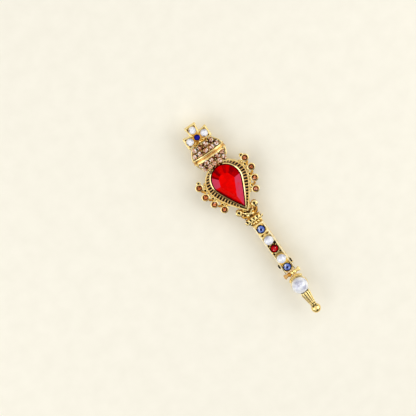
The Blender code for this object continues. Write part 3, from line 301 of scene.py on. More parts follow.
def plate(outline, low, high):
    """A flat outline of (x, y) points, extruded from one height to another."""
    shape = bmesh.new()
    face = shape.faces.new([shape.verts.new((x, y, low)) for x, y in outline])
    risen = bmesh.ops.extrude_face_region(shape, geom=[face])["geom"]
    bmesh.ops.translate(shape, vec=(0, 0, high - low), verts=points_of(risen))
    return shape


def ring_edges(points):
    """The edges that run from one of these points to another."""
    chosen = set(points)
    return list({edge for point in points for edge in point.link_edges if edge.other_vert(point) in chosen})


def lofted(loops, wrap=False, finishes=None):
    """Carries one closed line through a row of loops by extrusion, with a finish for each step."""
    shape = bmesh.new()
    order = shape.verts.layers.int.new("order")
    line = bmesh.ops.create_circle(shape, cap_ends=False, segments=len(loops[0]), radius=1)["verts"]
    for i, point in enumerate(line):
        point[order] = i
        point.co = loops[0][i]
    first = last = shape.edges[:]
    for step, loop in enumerate(loops[1:]):
        fresh = points_of(bmesh.ops.extrude_edge_only(shape, edges=last)["geom"])
        for point in fresh:
            point.co = loop[point[order]]
        for face in {face for point in fresh for face in point.link_faces}:
            face.material_index = finishes[step] if finishes else 0
        last = ring_edges(fresh)
    if wrap:
        bmesh.ops.bridge_loops(shape, edges=first + last)
    fill_open_ends(shape)
    return shape


def wire(route, radius, sides=10, closed=False):
    """A round wire along a route of points, of one radius or a list of radii."""
    count = len(route)
    radii = radius if isinstance(radius, list) else [radius] * count
    loops = []
    for i, point in enumerate(route):
        before = route[i - 1] if i or closed else point
        after = route[(i + 1) % count] if i < count - 1 or closed else point
        along = (after - before).normalized()
        aside = along.cross(Vector((0, 0, 1))).normalized()
        rise = aside.cross(along)
        turns = [math.tau * k / sides for k in range(sides)]
        loops.append([point + (aside * math.cos(a) + rise * math.sin(a)) * radii[i] for a in turns])
    return lofted(loops, wrap=closed)


def carved(shape, cutter):
    """What is left of a shape when a cutter is taken away from it."""
    objects = []
    for name, part in (("shape", shape), ("cutter", cutter)):
        bmesh.ops.recalc_face_normals(part, faces=part.faces)
        mesh = bpy.data.meshes.new(name)
        part.to_mesh(mesh)
        part.free()
        objects.append(bpy.data.objects.new(name, mesh))
        bpy.context.scene.collection.objects.link(objects[-1])
    modifier = objects[0].modifiers.new("carve", "BOOLEAN")
    modifier.object = objects[1]
    modifier.solver = "EXACT"
    cut = bpy.data.meshes.new_from_object(objects[0].evaluated_get(bpy.context.evaluated_depsgraph_get()))
    left = bmesh.new()
    left.from_mesh(cut)
    bpy.data.meshes.remove(cut)
    for made in objects:
        bpy.data.meshes.remove(made.data)
    return left


def cad_copy(node, edge, segments=2, sharp=25):
    """A copy of a node's mesh in millimetres: its triangles merged to flat faces, its edges rounded."""
    shape = bmesh.new()
    shape.from_mesh(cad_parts[node].data)
    bmesh.ops.scale(shape, vec=(1 / MM,) * 3, verts=shape.verts)
    bmesh.ops.remove_doubles(shape, verts=shape.verts, dist=0.002)
    bmesh.ops.dissolve_limit(shape, angle_limit=math.radians(1), verts=shape.verts, edges=shape.edges)
    rims = [e for e in shape.edges if e.is_manifold and e.calc_face_angle() > math.radians(sharp)]
    bevel(shape, rims, edge, segments)
    return shape


print("shape helpers are ready")

# %% [markdown]
# ## Gold
# The pin is cast in base metal and gold-plated. The plate is bright on what stands proud, and in
# narrow places its colour is darkened as painted shade. An Ambient Occlusion node finds those
# places, and noise gives the faint unevenness of a casting in colour, roughness and bump.

# %% Gold finishes
def new_finish(name):
    material = bpy.data.materials.new(name)
    material.use_nodes = True
    return material, material.node_tree, material.node_tree.nodes["Principled BSDF"]


def noise(tree, size, detail=3.0):
    """Noise on Object coordinates, with features of this size in millimetres."""
    where = tree.nodes.new("ShaderNodeTexCoord")
    made = tree.nodes.new("ShaderNodeTexNoise")
    made.inputs["Scale"].default_value = 1 / (size * MM)
    made.inputs["Detail"].default_value = detail
    tree.links.new(where.outputs["Object"], made.inputs["Vector"])
    return made.outputs["Fac"]


def ramp(tree, value, stops):
    """A colour ramp over a value, from (position, colour) stops."""
    made = tree.nodes.new("ShaderNodeValToRGB")
    keys = made.color_ramp.elements
    while len(keys) < len(stops):
        keys.new(1.0)
    for key, (position, colour) in zip(keys, stops):
        key.position = position
        key.color = (*colour, 1)
    tree.links.new(value, made.inputs["Fac"])
    return made.outputs["Color"]


def scaled(tree, value, low, high):
    """A value from 0 to 1, brought to a range."""
    made = tree.nodes.new("ShaderNodeMapRange")
    made.inputs["To Min"].default_value = low
    made.inputs["To Max"].default_value = high
    tree.links.new(value, made.inputs["Value"])
    return made.outputs["Result"]


def bump(tree, shader, value, strength, height):
    made = tree.nodes.new("ShaderNodeBump")
    made.inputs["Strength"].default_value = strength
    made.inputs["Distance"].default_value = height * MM
    tree.links.new(value, made.inputs["Height"])
    tree.links.new(made.outputs["Normal"], shader.inputs["Normal"])


def gold_finish(name, bright, warm, crevice_shade, rough):
    material, tree, shader = new_finish(name)
    shader.inputs["Metallic"].default_value = 1
    plate_colour = ramp(tree, noise(tree, 1.6), [(0.35, warm), (0.65, bright)])
    # The Ambient Occlusion node darkens the colour in narrow places: painted shade.
    reach = tree.nodes.new("ShaderNodeAmbientOcclusion")
    reach.samples = 8
    reach.inputs["Distance"].default_value = 0.4 * MM
    painted_crevice_shade = ramp(tree, reach.outputs["AO"], [(0.10, crevice_shade), (0.50, (1, 1, 1))])
    crevice_shaded = tree.nodes.new("ShaderNodeMix")
    crevice_shaded.data_type = "RGBA"
    crevice_shaded.blend_type = "MULTIPLY"
    crevice_shaded.inputs["Factor"].default_value = 1
    tree.links.new(plate_colour, crevice_shaded.inputs["A"])
    tree.links.new(painted_crevice_shade, crevice_shaded.inputs["B"])
    tree.links.new(crevice_shaded.outputs["Result"], shader.inputs["Base Color"])
    tree.links.new(scaled(tree, noise(tree, 0.7), *rough), shader.inputs["Roughness"])
    bump(tree, shader, noise(tree, 0.35), 0.25, 0.02)
    return material


# The third colour of each finish is its painted shade in narrow places.
GOLD = gold_finish(
    "gold_plate_polished", (1.0, 0.84, 0.42), (0.92, 0.68, 0.25), (0.10, 0.05, 0.015), (0.08, 0.20),
)
MIRROR = gold_finish(
    "gold_plate_mirror", (1.0, 0.80, 0.36), (0.92, 0.66, 0.22), (0.10, 0.05, 0.015), (0.03, 0.08),
)
PALE = gold_finish("gold_plate_pale", (1.0, 0.91, 0.64), (0.96, 0.80, 0.48), (0.16, 0.09, 0.04), (0.10, 0.22))
# A darker, warmer copy of the plate: painted shade on the ribs, the crossbar's left wing and the band.
WARM = gold_finish("gold_plate_warm_shade", (0.82, 0.52, 0.21), (0.64, 0.36, 0.12), (0.10, 0.05, 0.02), (0.16, 0.30))
# A darker amber plate: painted shade on sunk floors and between ornaments, an amber tone on some wires.
AMBER = gold_finish("gold_plate_amber_and_sunk_shade", (0.84, 0.46, 0.08), (0.42, 0.17, 0.02), (0.16, 0.08, 0.03), (0.24, 0.38))
# A dark brown plate for undercuts, grooves and the ground between ornaments: painted shade.
UNDERCUT_SHADE = gold_finish("gold_plate_undercut_shade", (0.34, 0.15, 0.03), (0.10, 0.04, 0.01), (0.2, 0.1, 0.05), (0.24, 0.40))
# A plate in patches of dark brown and near-black for the orb between its stones: painted shade.
ORB_GAP_SHADE = gold_finish(
    "gold_plate_orb_gap_shade", (0.36, 0.16, 0.03), (0.012, 0.006, 0.004), (0.2, 0.1, 0.05), (0.24, 0.40),
)
# A near-black plate for mouths, pits and gaps between parts: painted shadow where shade falls.
SHADOW = gold_finish("gold_plate_painted_shadow", (0.02, 0.011, 0.006), (0.008, 0.004, 0.003), (0.4, 0.3, 0.2), (0.3, 0.5))
STEEL = gold_finish("gilt_steel_drawn", (0.90, 0.70, 0.32), (0.80, 0.58, 0.22), (0.4, 0.28, 0.14), (0.18, 0.30))
golds = (GOLD, MIRROR, PALE, WARM, AMBER, UNDERCUT_SHADE, ORB_GAP_SHADE, SHADOW, STEEL)
print("gold finishes:", [finish.name for finish in golds])

# %% [markdown]
# ## Glass and pearl
# The stones are glass with foil behind, so no light comes through from the back: each facet shows
# one patch of bright or dark foil. Real refraction would need the foil and many light bounces. Here
# each facet carries a tone from 0 to 1 in an attribute, painted light that stands for those bright and
# dark reflections, and a ramp turns tones into colours.

# %% Glass finishes
def cut_glass(name, colours, flicker, flake=0.45, gloss=0.4):
    """Foil-backed glass in five colours, dark to bright, painted as the foil's reflections. Flakes of foil shift each
    facet's tone, as painted glints.
    """
    material, tree, shader = new_finish(name)
    facet = tree.nodes.new("ShaderNodeAttribute")
    facet.attribute_name = "facet"
    where = tree.nodes.new("ShaderNodeTexCoord")
    glint_flakes = tree.nodes.new("ShaderNodeTexVoronoi")
    glint_flakes.inputs["Scale"].default_value = 1 / (flake * MM)
    tree.links.new(where.outputs["Object"], glint_flakes.inputs["Vector"])
    split = tree.nodes.new("ShaderNodeSeparateColor")
    tree.links.new(glint_flakes.outputs["Color"], split.inputs["Color"])
    shifted = tree.nodes.new("ShaderNodeMath")
    shifted.operation = "ADD"
    tree.links.new(facet.outputs["Fac"], shifted.inputs[0])
    tree.links.new(scaled(tree, split.outputs["Red"], -flicker, flicker), shifted.inputs[1])
    stops = [(i / (len(colours) - 1), colour) for i, colour in enumerate(colours)]
    tree.links.new(ramp(tree, shifted.outputs["Value"], stops), shader.inputs["Base Color"])
    tree.links.new(scaled(tree, noise(tree, 0.8), 0.03, 0.10), shader.inputs["Roughness"])
    shader.inputs["Specular IOR Level"].default_value = gloss
    return material


RUBY = cut_glass(
    "ruby_cut",
    [(0.03, 0.0, 0.002), (0.28, 0.0, 0.002), (0.66, 0.0, 0.0), (0.92, 0.001, 0.0), (0.68, 0.058, 0.125)],
    flicker=0.06, flake=0.9, gloss=0.02,
)
GARNET = cut_glass(
    "garnet_cut",
    [(0.01, 0.0, 0.001), (0.12, 0.0, 0.002), (0.38, 0.0, 0.004), (0.60, 0.003, 0.006), (1.0, 0.85, 0.85)],
    flicker=0.06, gloss=0.03,
)
SAPPHIRE = cut_glass(
    "sapphire_cut",
    [(0.003, 0.002, 0.02), (0.004, 0.002, 0.10), (0.002, 0.002, 0.28), (0.01, 0.01, 0.50), (0.45, 0.50, 0.90)],
    flicker=0.08, gloss=0.12,
)
LIGHT_SAPPHIRE = cut_glass(
    "light_sapphire_cut",
    [(0.002, 0.002, 0.02), (0.005, 0.008, 0.16), (0.07, 0.12, 0.50), (0.22, 0.33, 0.78), (0.80, 0.86, 1.0)],
    flicker=0.08, gloss=0.12,
)
CRYSTAL = cut_glass(
    "crystal_cut",
    [(0.06, 0.06, 0.07), (0.34, 0.34, 0.40), (0.66, 0.68, 0.77), (0.88, 0.90, 0.97), (0.98, 0.98, 1.0)],
    flicker=0.10,
)
CHAMPAGNE = cut_glass(
    "champagne_cut",
    [(0.012, 0.004, 0.003), (0.18, 0.045, 0.012), (0.56, 0.19, 0.055), (0.82, 0.42, 0.22), (1.0, 0.95, 0.90)],
    flicker=0.16, flake=0.3, gloss=0.15,
)
SIDE_CHAMPAGNE = cut_glass(
    "champagne_side_cut",
    [(0.02, 0.004, 0.002), (0.26, 0.045, 0.009), (0.68, 0.18, 0.042), (0.92, 0.40, 0.17), (1.0, 0.92, 0.85)],
    flicker=0.16, flake=0.3, gloss=0.15,
)
stones = (RUBY, GARNET, SAPPHIRE, LIGHT_SAPPHIRE, CRYSTAL, CHAMPAGNE, SIDE_CHAMPAGNE)
print("glass finishes:", [finish.name for finish in stones])

# %% Pearl finish
def pearl_finish(name):
    """Imitation pearl: white lacquer with lilac-grey clouds, painted reflections of the surroundings, between a paint
    and a mirror.
    """
    material, tree, shader = new_finish(name)
    lilac, milk, white = (0.55, 0.56, 0.69), (0.83, 0.85, 0.95), (0.93, 0.95, 1.0)
    clouds = ramp(tree, noise(tree, 1.9, 4.0), [(0.36, lilac), (0.47, milk), (0.57, white)])
    tree.links.new(clouds, shader.inputs["Base Color"])
    tree.links.new(scaled(tree, noise(tree, 1.0), 0.20, 0.36), shader.inputs["Roughness"])
    shader.inputs["Metallic"].default_value = 0.15
    shader.inputs["Coat Weight"].default_value = 0.5
    shader.inputs["Coat Roughness"].default_value = 0.12
    bump(tree, shader, noise(tree, 0.9), 0.15, 0.03)
    return material


PEARL = pearl_finish("pearl_lacquer")
print("pearl finish:", PEARL.name)

# %% [markdown]
# ## Cutting stones
# A stone cutter starts from a rough drum and grinds one flat at a time. grind does the same: a
# bisecting plane takes away what lies beyond it, and the cut is filled with one flat facet. The
# edge that is left round the stone is scalloped, as on a real one.

# %% Grinding
def new_rough():
    rough = bmesh.new()
    return rough, rough.faces.layers.float.new("facet")


def grind(stone, point, normal, tone):
    """Grinds one flat facet of a tone, and returns it."""
    facet = stone.faces.layers.float["facet"]
    everything = stone.verts[:] + stone.edges[:] + stone.faces[:]
    cut = bmesh.ops.bisect_plane(
        stone, geom=everything, dist=1e-6, plane_co=point, plane_no=normal, clear_outer=True,
    )["geom_cut"]
    edges = [part for part in cut if isinstance(part, bmesh.types.BMEdge)]
    if not edges:
        return None
    made = bmesh.ops.contextual_create(stone, geom=edges)["faces"]
    for face in made:
        face[facet] = tone
    return made[0] if made else None


def sloping(direction, outer, inner, low, high):
    """A crown facet's point and normal: it falls from (inner, high) to (outer, low) in a direction."""
    out = Vector((math.cos(direction), math.sin(direction), 0))
    return out * outer + Vector((0, 0, low)), out * (high - low) + Vector((0, 0, outer - inner))


def split_table(stone, table, core_share, ring_tones, core_tones):
    """Divides the flat top into painted reflections of the facets behind it: a ring of patches and a core."""
    facet = stone.faces.layers.float["facet"]
    reach = min((edge.verts[0].co + edge.verts[1].co).xy.length / 2 for edge in table.edges)
    ring = bmesh.ops.inset_individual(stone, faces=[table], thickness=reach * (1 - core_share))["faces"]
    for i, face in enumerate(ring):
        face[facet] = ring_tones[i % len(ring_tones)]
    core = bmesh.ops.poke(stone, faces=[table])["faces"]
    for i, face in enumerate(core):
        face[facet] = core_tones[i % len(core_tones)]


GIRDLE = 0.08


def round_stone(radius, crown, depth, cuts, crown_tones, ring_tones, core_tones, turn=0.0, table=0.58, core=0.55):
    """A round stone with its girdle at Z = 0."""
    stone, facet = new_rough()
    low, high = (0.0, 0.0, -depth / 2), (0.0, 0.0, crown / 2)
    bmesh.ops.create_cone(
        stone, cap_ends=False, segments=40, radius1=0.5 * radius, radius2=radius, depth=depth,
        matrix=Matrix.Translation(low),
    )
    bmesh.ops.create_cone(
        stone, cap_ends=False, segments=40, radius1=radius, radius2=radius, depth=crown,
        matrix=Matrix.Translation(high),
    )
    bmesh.ops.remove_doubles(stone, verts=stone.verts, dist=WELD)
    fill_open_ends(stone)
    inner = table * radius
    for i in range(cuts):
        direction = turn + math.tau * i / cuts
        grind(stone, *sloping(direction, radius, inner, GIRDLE, crown), crown_tones[i % len(crown_tones)])
    for i in range(cuts):
        direction = turn + math.tau * (i + 0.5) / cuts
        tone = crown_tones[(3 * i + 1) % len(crown_tones)]
        grind(stone, *sloping(direction, radius, 1.02 * inner, 0.42 * crown, crown), tone)
    top = max(stone.faces, key=lambda face: face.calc_center_median().z)
    split_table(stone, top, core, ring_tones, core_tones)
    return stone


print("grinding tools are ready")

# %% [markdown]
# ## The tail: ball, neck ring and fluted taper
# All three are turned pieces on one axis. The ball is a sphere cut flat where it meets the neck.
# The taper's reeds could be carved out of a cone; it is quicker to draw one reed, stretch it along
# the axis by extrusion, and spin copies of it round.

# %% Tail
TAIL_AXIS = middle("tip_ball").z

low, high = span("tip_ball")
ball_radius = (high.x - low.x) / 2
tip_ball = ball(ball_radius, 24)
bmesh.ops.transform(tip_ball, matrix=at((0, low.y + ball_radius, TAIL_AXIS), ALONG_PIN), verts=tip_ball.verts)
bmesh.ops.bisect_plane(
    tip_ball, geom=tip_ball.verts[:] + tip_ball.edges[:] + tip_ball.faces[:],
    plane_co=(0, high.y, 0), plane_no=(0, 1, 0), clear_outer=True,
)
fill_open_ends(tip_ball)
add_piece(tip_ball, "tip_ball_polished", [MIRROR], "gold_plate", "tip_ball")

low, high = span("neck_ring")
NECK_PROFILE = [
    (0, 0), (0.80, 0), (0.86, 0.05), (0.82, 0.12), (0.62, 0.18), (0.56, 0.5), (0.62, 0.82),
    (0.82, 0.88), (0.86, 0.95), (0.80, 1), (0, 1),
]
NECK_BEADS = 7
neck = bmesh.new()
neck_radius, neck_length = high.x, high.y - low.y
profile = [(neck_radius * radius, neck_length * height) for radius, height in NECK_PROFILE]
core = turned(profile)
# The recess behind the beads takes the near-black plate: painted shade.
for face in core.faces:
    spot = face.calc_center_median()
    face.material_index = 1 if 0.1 < spot.z / neck_length < 0.9 else 0
join(neck, core, at((0, low.y, TAIL_AXIS), ALONG_PIN), None)
neck_bead = 0.29 * neck_radius
for i in range(NECK_BEADS):
    angle = math.tau * (i + 0.5) / NECK_BEADS
    out = Vector((math.sin(angle), 0, math.cos(angle))) * (neck_radius - neck_bead)
    join(neck, bead(neck_bead), at(out + Vector((0, (low.y + high.y) / 2, TAIL_AXIS))))
add_piece(neck, "neck_ring_beaded", [GOLD, SHADOW], "gold_plate", "neck_ring")

# %% Fluted taper
FLUTES = 10
REED_STEPS = 12
REED_DEPTH = 0.22
TAPER_LEVELS = 16
low, high = span("fluted_taper")
taper_foot, taper_head = neck_radius, high.z - TAIL_AXIS


def taper_radius(share):
    """The reeds' crest: it swells from the neck and turns in at the head."""
    radius = taper_foot + (taper_head - taper_foot) * share * (1.2 - 0.2 * share)
    turned_in = max(0.0, share - 0.82) / 0.18
    return radius * (1 - 0.13 * turned_in ** 2)


reed = bmesh.new()
half_reed = math.pi / FLUTES
row = []
for i in range(REED_STEPS + 1):
    angle = half_reed * (2 * i / REED_STEPS - 1)
    crest = 1 - REED_DEPTH * abs(angle / half_reed) ** 2.5
    row.append(reed.verts.new((crest * math.sin(angle), 0, crest * math.cos(angle))))
edges = [reed.edges.new(pair) for pair in zip(row, row[1:])]
bmesh.ops.scale(reed, vec=(taper_foot,) * 3, verts=reed.verts)
for level in range(1, TAPER_LEVELS + 1):
    share, before = level / TAPER_LEVELS, (level - 1) / TAPER_LEVELS
    fresh = points_of(bmesh.ops.extrude_edge_only(reed, edges=edges)["geom"])
    edges = ring_edges(fresh)
    grow = taper_radius(share) / taper_radius(before)
    bmesh.ops.scale(reed, vec=(grow, 1, grow), verts=fresh)
    bmesh.ops.translate(reed, vec=(0, (high.y - low.y) / TAPER_LEVELS, 0), verts=fresh)
# The flanks of each reed take darker plates: painted shade, darkest towards the head.
for face in reed.faces:
    spot = face.calc_center_median()
    share = spot.y / (high.y - low.y)
    if abs(math.atan2(spot.x, spot.z)) > 0.70 * half_reed:
        face.material_index = 2 if share > 0.55 else 1 if share > 0.1 else 0
bmesh.ops.spin(
    reed, geom=reed.verts[:] + reed.edges[:] + reed.faces[:], cent=(0, 0, 0), axis=(0, 1, 0),
    dvec=(0, 0, 0), angle=math.tau * (FLUTES - 1) / FLUTES, steps=FLUTES - 1, use_duplicate=True,
)
bmesh.ops.remove_doubles(reed, verts=reed.verts, dist=0.002)
fill_open_ends(reed)
taper = bmesh.new()
join(taper, reed, at((0, low.y, TAIL_AXIS)), None)
add_piece(taper, "fluted_taper_reeded", [GOLD, UNDERCUT_SHADE, SHADOW], "gold_plate", "fluted_taper", crease=50)

# %% [markdown]
# ## The large pearl and its cup
# The pearl is a plain ball, so its look is all in its lacquer. Its cup is turned with a rolled
# rim, and a crescent shoulder on the staff's side joins it to the crossbar.

# %% Pearls
def add_pearl(node):
    low, high = span(node)
    radius = (high.x - low.x) / 2
    pearl = bmesh.new()
    join(pearl, ball(radius, 32), at(((low.x + high.x) / 2, (low.y + high.y) / 2, high.z - radius)))
    add_piece(pearl, node + "_lacquered", [PEARL], "pearl", node)
    return radius


pearl_radius = add_pearl("large_pearl")
for name in ("lower_pearl", "upper_pearl"):
    add_pearl(name)

# %% Cup of the large pearl
low, high = span("large_pearl_cup")
cup_radius = high.x
cup_height = 1.90
pearl_y = middle("large_pearl").y
bowl = [
    (0, 0), (0.53, 0), (0.66, 0.06), (0.86, 0.22), (0.96, 0.50), (0.985, 0.80), (1, 0.90), (1, 0.96),
    (0.985, 1), (0.88, 1), (0.85, 0.96), (0.82, 0.84), (0.75, 0.60), (0.6, 0.36), (0, 0.2),
]
cup = bmesh.new()
join(cup, turned([(r * cup_radius, h * cup_height) for r, h in bowl], 64), at((0, pearl_y, BACK)))
SHOULDER_HALF_ANGLE = math.radians(46)
shoulder_reach = high.y - pearl_y
shoulder = [
    (0.94, 0.10), (1, 0.10), (1, 0.62), (0.985, 0.80), (0.95, 0.90), (0.90, 0.92), (0.86, 0.88),
    (0.84, 0.80), (0.84, 0.10), (0.94, 0.10),
]
crescent = turned([(r * shoulder_reach, h * cup_height) for r, h in shoulder], 24, 2 * SHOULDER_HALF_ANGLE)
join(cup, crescent, at((0, pearl_y, BACK), around(math.pi / 2 - SHOULDER_HALF_ANGLE)))
for side in (-1, 1):
    angle = math.pi / 2 + side * SHOULDER_HALF_ANGLE
    place = Vector((math.cos(angle), math.sin(angle), 0)) * 0.92 * shoulder_reach
    join(cup, ball(0.34, 10), at(place + Vector((0, pearl_y, BACK + 0.5 * cup_height)), stretch=(1, 1, 2.3)))
add_piece(cup, "large_pearl_cup_turned", [GOLD], "gold_plate", "large_pearl_cup")

# %% [markdown]
# ## The crossbar
# Two flared wings stand out on each side of three round bosses. The wings are one plate with its
# edges bevelled, and each boss is a ball stretched along the pin.

# %% Crossbar
low, high = span("crossbar")
bar_middle = (low.y + high.y) / 2
half_bar = (high.y - low.y) / 2
reach = high.x
wing = [(0.3 * reach, 0.45), (0.55 * reach, 0.50), (0.80 * reach, 0.80), (0.93 * reach, 0.92), (reach, 0.62)]
outline = [(x, y * half_bar) for x, y in wing] + [(x, -y * half_bar) for x, y in reversed(wing)]
crossbar = bmesh.new()
# The left wing takes the darker, warmer plate: painted shade on that side.
for side in (-1, 1):
    shape = plate([(side * x, y) for x, y in outline], 0, 0.74 * (high.z - low.z))
    bevel(shape, shape.edges, 0.16, 3)
    join(crossbar, shape, at((0, bar_middle, BACK)), 3 if side < 0 else 0)
boss = 0.62
# The left boss takes the amber plate: painted shade on that side.
for i in (-1, 0, 1):
    stretch = (boss, half_bar, boss)
    place = (i * 1.8 * boss, bar_middle, high.z - boss)
    join(crossbar, ball(1, 16), at(place, stretch=stretch), 2 if i < 0 else 0)
    join(crossbar, bar((1.9 * boss, 1.5 * half_bar, 1.0), 0.1), at((i * 1.8 * boss, bar_middle, BACK + 0.5)))
# Dark bars between and beside the bosses: painted shade in the grooves.
SHADE_BAR_WIDTH = 0.22
for x, depth in ((0.9 * boss, 0.26), (2.85 * boss, 0.60)):
    for side in (-1, 1):
        shade_bar = bar((SHADE_BAR_WIDTH, 1.3 * half_bar, 0.4), 0.05)
        join(crossbar, shade_bar, at((side * x, bar_middle, high.z - depth - 0.2)), 1)
add_piece(crossbar, "crossbar_cast", [GOLD, UNDERCUT_SHADE, AMBER, WARM], "gold_plate", "crossbar")

# %% [markdown]
# ## The staff
# The staff is an open channel. Its section is drawn once and extruded along the pin, and a narrow
# bevel gives the walls the bright line that a polished edge shows. The floor between the stones
# is darker than the walls.

# %% Staff channel
low, high = span("staff_channel")
WALL, FLOOR_HEIGHT = 0.44, 0.80
outer, wall_top = high.x, high.z - BACK
section = [(outer, 0), (outer, wall_top), (outer - WALL, wall_top), (outer - WALL, FLOOR_HEIGHT)]
section += [(-x, z) for x, z in reversed(section)]
channel = bmesh.new()
shape = plate(section, 0, high.y - low.y)
for face in shape.faces:
    spot = face.calc_center_median()
    if abs(spot.x) < 0.1 and abs(spot.y - FLOOR_HEIGHT) < 0.01:
        face.material_index = 1
bevel(shape, shape.edges, 0.07, 2)
join(channel, shape, at((0, high.y, BACK), Matrix.Rotation(math.pi / 2, 4, "X")), None)
add_piece(channel, "staff_channel_cast", [PALE, GOLD], "gold_plate", "staff_channel")

# %% Collets of the staff
CLAW = 0.30
CLAW_TIP = 0.16
COLLET_RIM = 1.75
CORNER_PAD = Vector((1.30, 1.84, 1.05))
COLLET_WALL = [
    (0, 0), (0.90, 0), (0.98, 0.06), (0.98, 0.86), (0.965, 0.95), (0.93, 0.99), (0.87, 1), (0.81, 0.97),
    (0.78, 0.88), (0.78, 0.20), (0, 0.20),
]


def add_collet(node, corner_pads):
    """A cup whose mouth is painted dark as shade, with four claws bent over the stone."""
    low, high = span(node)
    place = Vector(((low.x + high.x) / 2, (low.y + high.y) / 2, low.z))
    radius = high.x
    cup = turned([(r * radius, h * COLLET_RIM) for r, h in COLLET_WALL], 40)
    # Inside the mouth the cup takes the near-black plate: painted shade.
    for face in cup.faces:
        spot = face.calc_center_median()
        face.material_index = 1 if spot.xy.length < 0.972 * radius and spot.z > 0.1 else 0
    piece = bmesh.new()
    join(piece, cup, at(place), None)
    for quarter in range(4):
        angle = math.pi / 4 + quarter * math.pi / 2
        out = Vector((math.cos(angle), math.sin(angle), 0))
        claw = bar((CLAW, CLAW, COLLET_RIM), 0.10)
        join(piece, claw, at(place + out * radius + Vector((0, 0, 0.52 * COLLET_RIM)), around(angle)))
        tip = place + out * 0.93 * radius + Vector((0, 0, COLLET_RIM + 0.5 * CLAW_TIP))
        join(piece, bead(CLAW_TIP), at(tip), 2)
        if corner_pads:
            pad = Vector((math.copysign(CORNER_PAD.x, out.x), math.copysign(CORNER_PAD.y, out.y), CORNER_PAD.z))
            join(piece, ball(0.48, 12), at(place + pad, stretch=(0.8, 0.8, 1.3)))
            # A near-black spot on each corner pad is painted shade, the one at the top right larger.
            shade_spread = 1.35 if out.x > 0 and out.y > 0 else 0.95
            shade_spot = place + pad + Vector((0, 0, 0.46))
            join(piece, ball(0.40, 12), at(shade_spot, stretch=(shade_spread, 1.1 * shade_spread, 0.7)), 1)
    add_piece(piece, node + "_clawed", [GOLD, SHADOW, AMBER], "gold_plate", node)


add_collet("lower_sapphire_collet", False)
add_collet("garnet_collet", True)
add_collet("upper_sapphire_collet", False)

# %% Stones of the staff
# Tones are painted light: the dark blue core is a painted dark reflection, 1.0 and 0.92 painted glints.
BLUE_CROWN = [0.50, 0.70, 0.95, 0.60, 0.84, 0.42, 0.66, 0.56]
BLUE_RING = [0.66, 0.48, 0.74, 1.0, 0.96, 0.60, 0.46, 0.62]
BLUE_CORE = [0.06, 0.03, 0.10, 0.45, 0.05, 0.04, 0.08, 0.05]
RED_CROWN = [0.62, 0.30, 0.66, 0.70, 0.62, 0.68, 0.35, 0.60]
RED_RING = [0.70, 0.62, 0.74, 0.64, 0.72, 0.66, 0.60, 0.92]
RED_CORE = [0.70, 0.74, 0.66, 0.72, 0.62, 0.70, 0.76, 0.68]


def add_staff_stone(node, finish, slot, tones, turn, core):
    """A stone a little smaller than its cup, so that the cup's mouth, painted dark as shade, shows round it."""
    low, high = span(node)
    crown = 0.82
    radius = 0.87 * high.x
    stone = round_stone(radius, crown, high.z - low.z - crown, 8, *tones, turn=turn, core=core)
    piece = bmesh.new()
    piece.faces.layers.float.new("facet")
    join(piece, stone, at((0, (low.y + high.y) / 2, high.z - crown)))
    add_piece(piece, node + "_cut", [finish], slot, node, crease=1)


BLUE = (BLUE_CROWN, BLUE_RING, BLUE_CORE)
add_staff_stone("lower_sapphire", LIGHT_SAPPHIRE, "light_sapphire_glass", BLUE, 0.2, 0.66)
add_staff_stone("upper_sapphire", LIGHT_SAPPHIRE, "light_sapphire_glass", BLUE, 0.4, 0.66)
add_staff_stone("garnet", GARNET, "garnet_glass", (RED_CROWN, RED_RING, RED_CORE), 0.1, 0.55)

# %% Pearl seats, spacer and side leaves
for name in ("lower_pearl_seat", "upper_pearl_seat"):
    low, high = span(name)
    dish = [(0, 0), (0.92, 0), (1, 0.08), (1, 0.44), (0.97, 0.53), (0.92, 0.55), (0.86, 0.50), (0.6, 0.34), (0, 0.28)]
    seat = bmesh.new()
    join(seat, turned([(r * high.x, h) for r, h in dish], 32), at((0, (low.y + high.y) / 2, low.z)))
    add_piece(seat, name + "_dished", [GOLD], "gold_plate", name)

low, high = span("staff_spacer")
spacer = bmesh.new()
pad_middle = middle("staff_spacer")
pad_half = (high - low) / 2
for side in (-1, 1):
    place = pad_middle + Vector((0.47 * side * pad_half.x, 0, 0))
    join(spacer, ball(1, 16), at(place, stretch=(0.53 * pad_half.x, pad_half.y, pad_half.z)))
    # A near-black spot on each pad: painted shade.
    pit = place + Vector((0.1 * side * pad_half.x, 0.2 * pad_half.y, 0.86 * pad_half.z))
    join(spacer, ball(0.30, 10), at(pit, stretch=(1.4, 0.8, 0.6)), 1)
join(spacer, bead(0.3), at((0, pad_middle.y, high.z - 0.25)))
add_piece(spacer, "staff_spacer_cast", [GOLD, SHADOW], "gold_plate", "staff_spacer")

for name, side in (("left_leaf", -1), ("right_leaf", 1)):
    low, high = span(name)
    half = (high - low) / 2
    shape = ball(1, 16)
    bmesh.ops.bisect_plane(
        shape, geom=shape.verts[:] + shape.edges[:] + shape.faces[:],
        plane_co=(0, 0, 0), plane_no=(-side, 0, 0), clear_outer=True,
    )
    fill_open_ends(shape)
    leaf = bmesh.new()
    inner = low.x if side > 0 else high.x
    place = (inner, (low.y + high.y) / 2, (low.z + high.z) / 2)
    join(leaf, shape, at(place, stretch=(2 * half.x, half.y, half.z)))
    # A near-black spot over most of the leaf's face: painted shade in its curl.
    shade_spot = (inner + 0.85 * side * half.x, place[1], high.z - 0.24 * half.z)
    join(leaf, ball(1, 12), at(shade_spot, stretch=(1.05 * half.x, 0.88 * half.y, 0.34 * half.z)), 1)
    add_piece(leaf, name + "_curled", [GOLD, SHADOW], "gold_plate", name)

# %% [markdown]
# ## The pear outline
# The stone, its bezel and its frame share one outline: a round head whose sides run down to a
# point. A circle's points are moved onto it, and growing it gives each ring its own line.

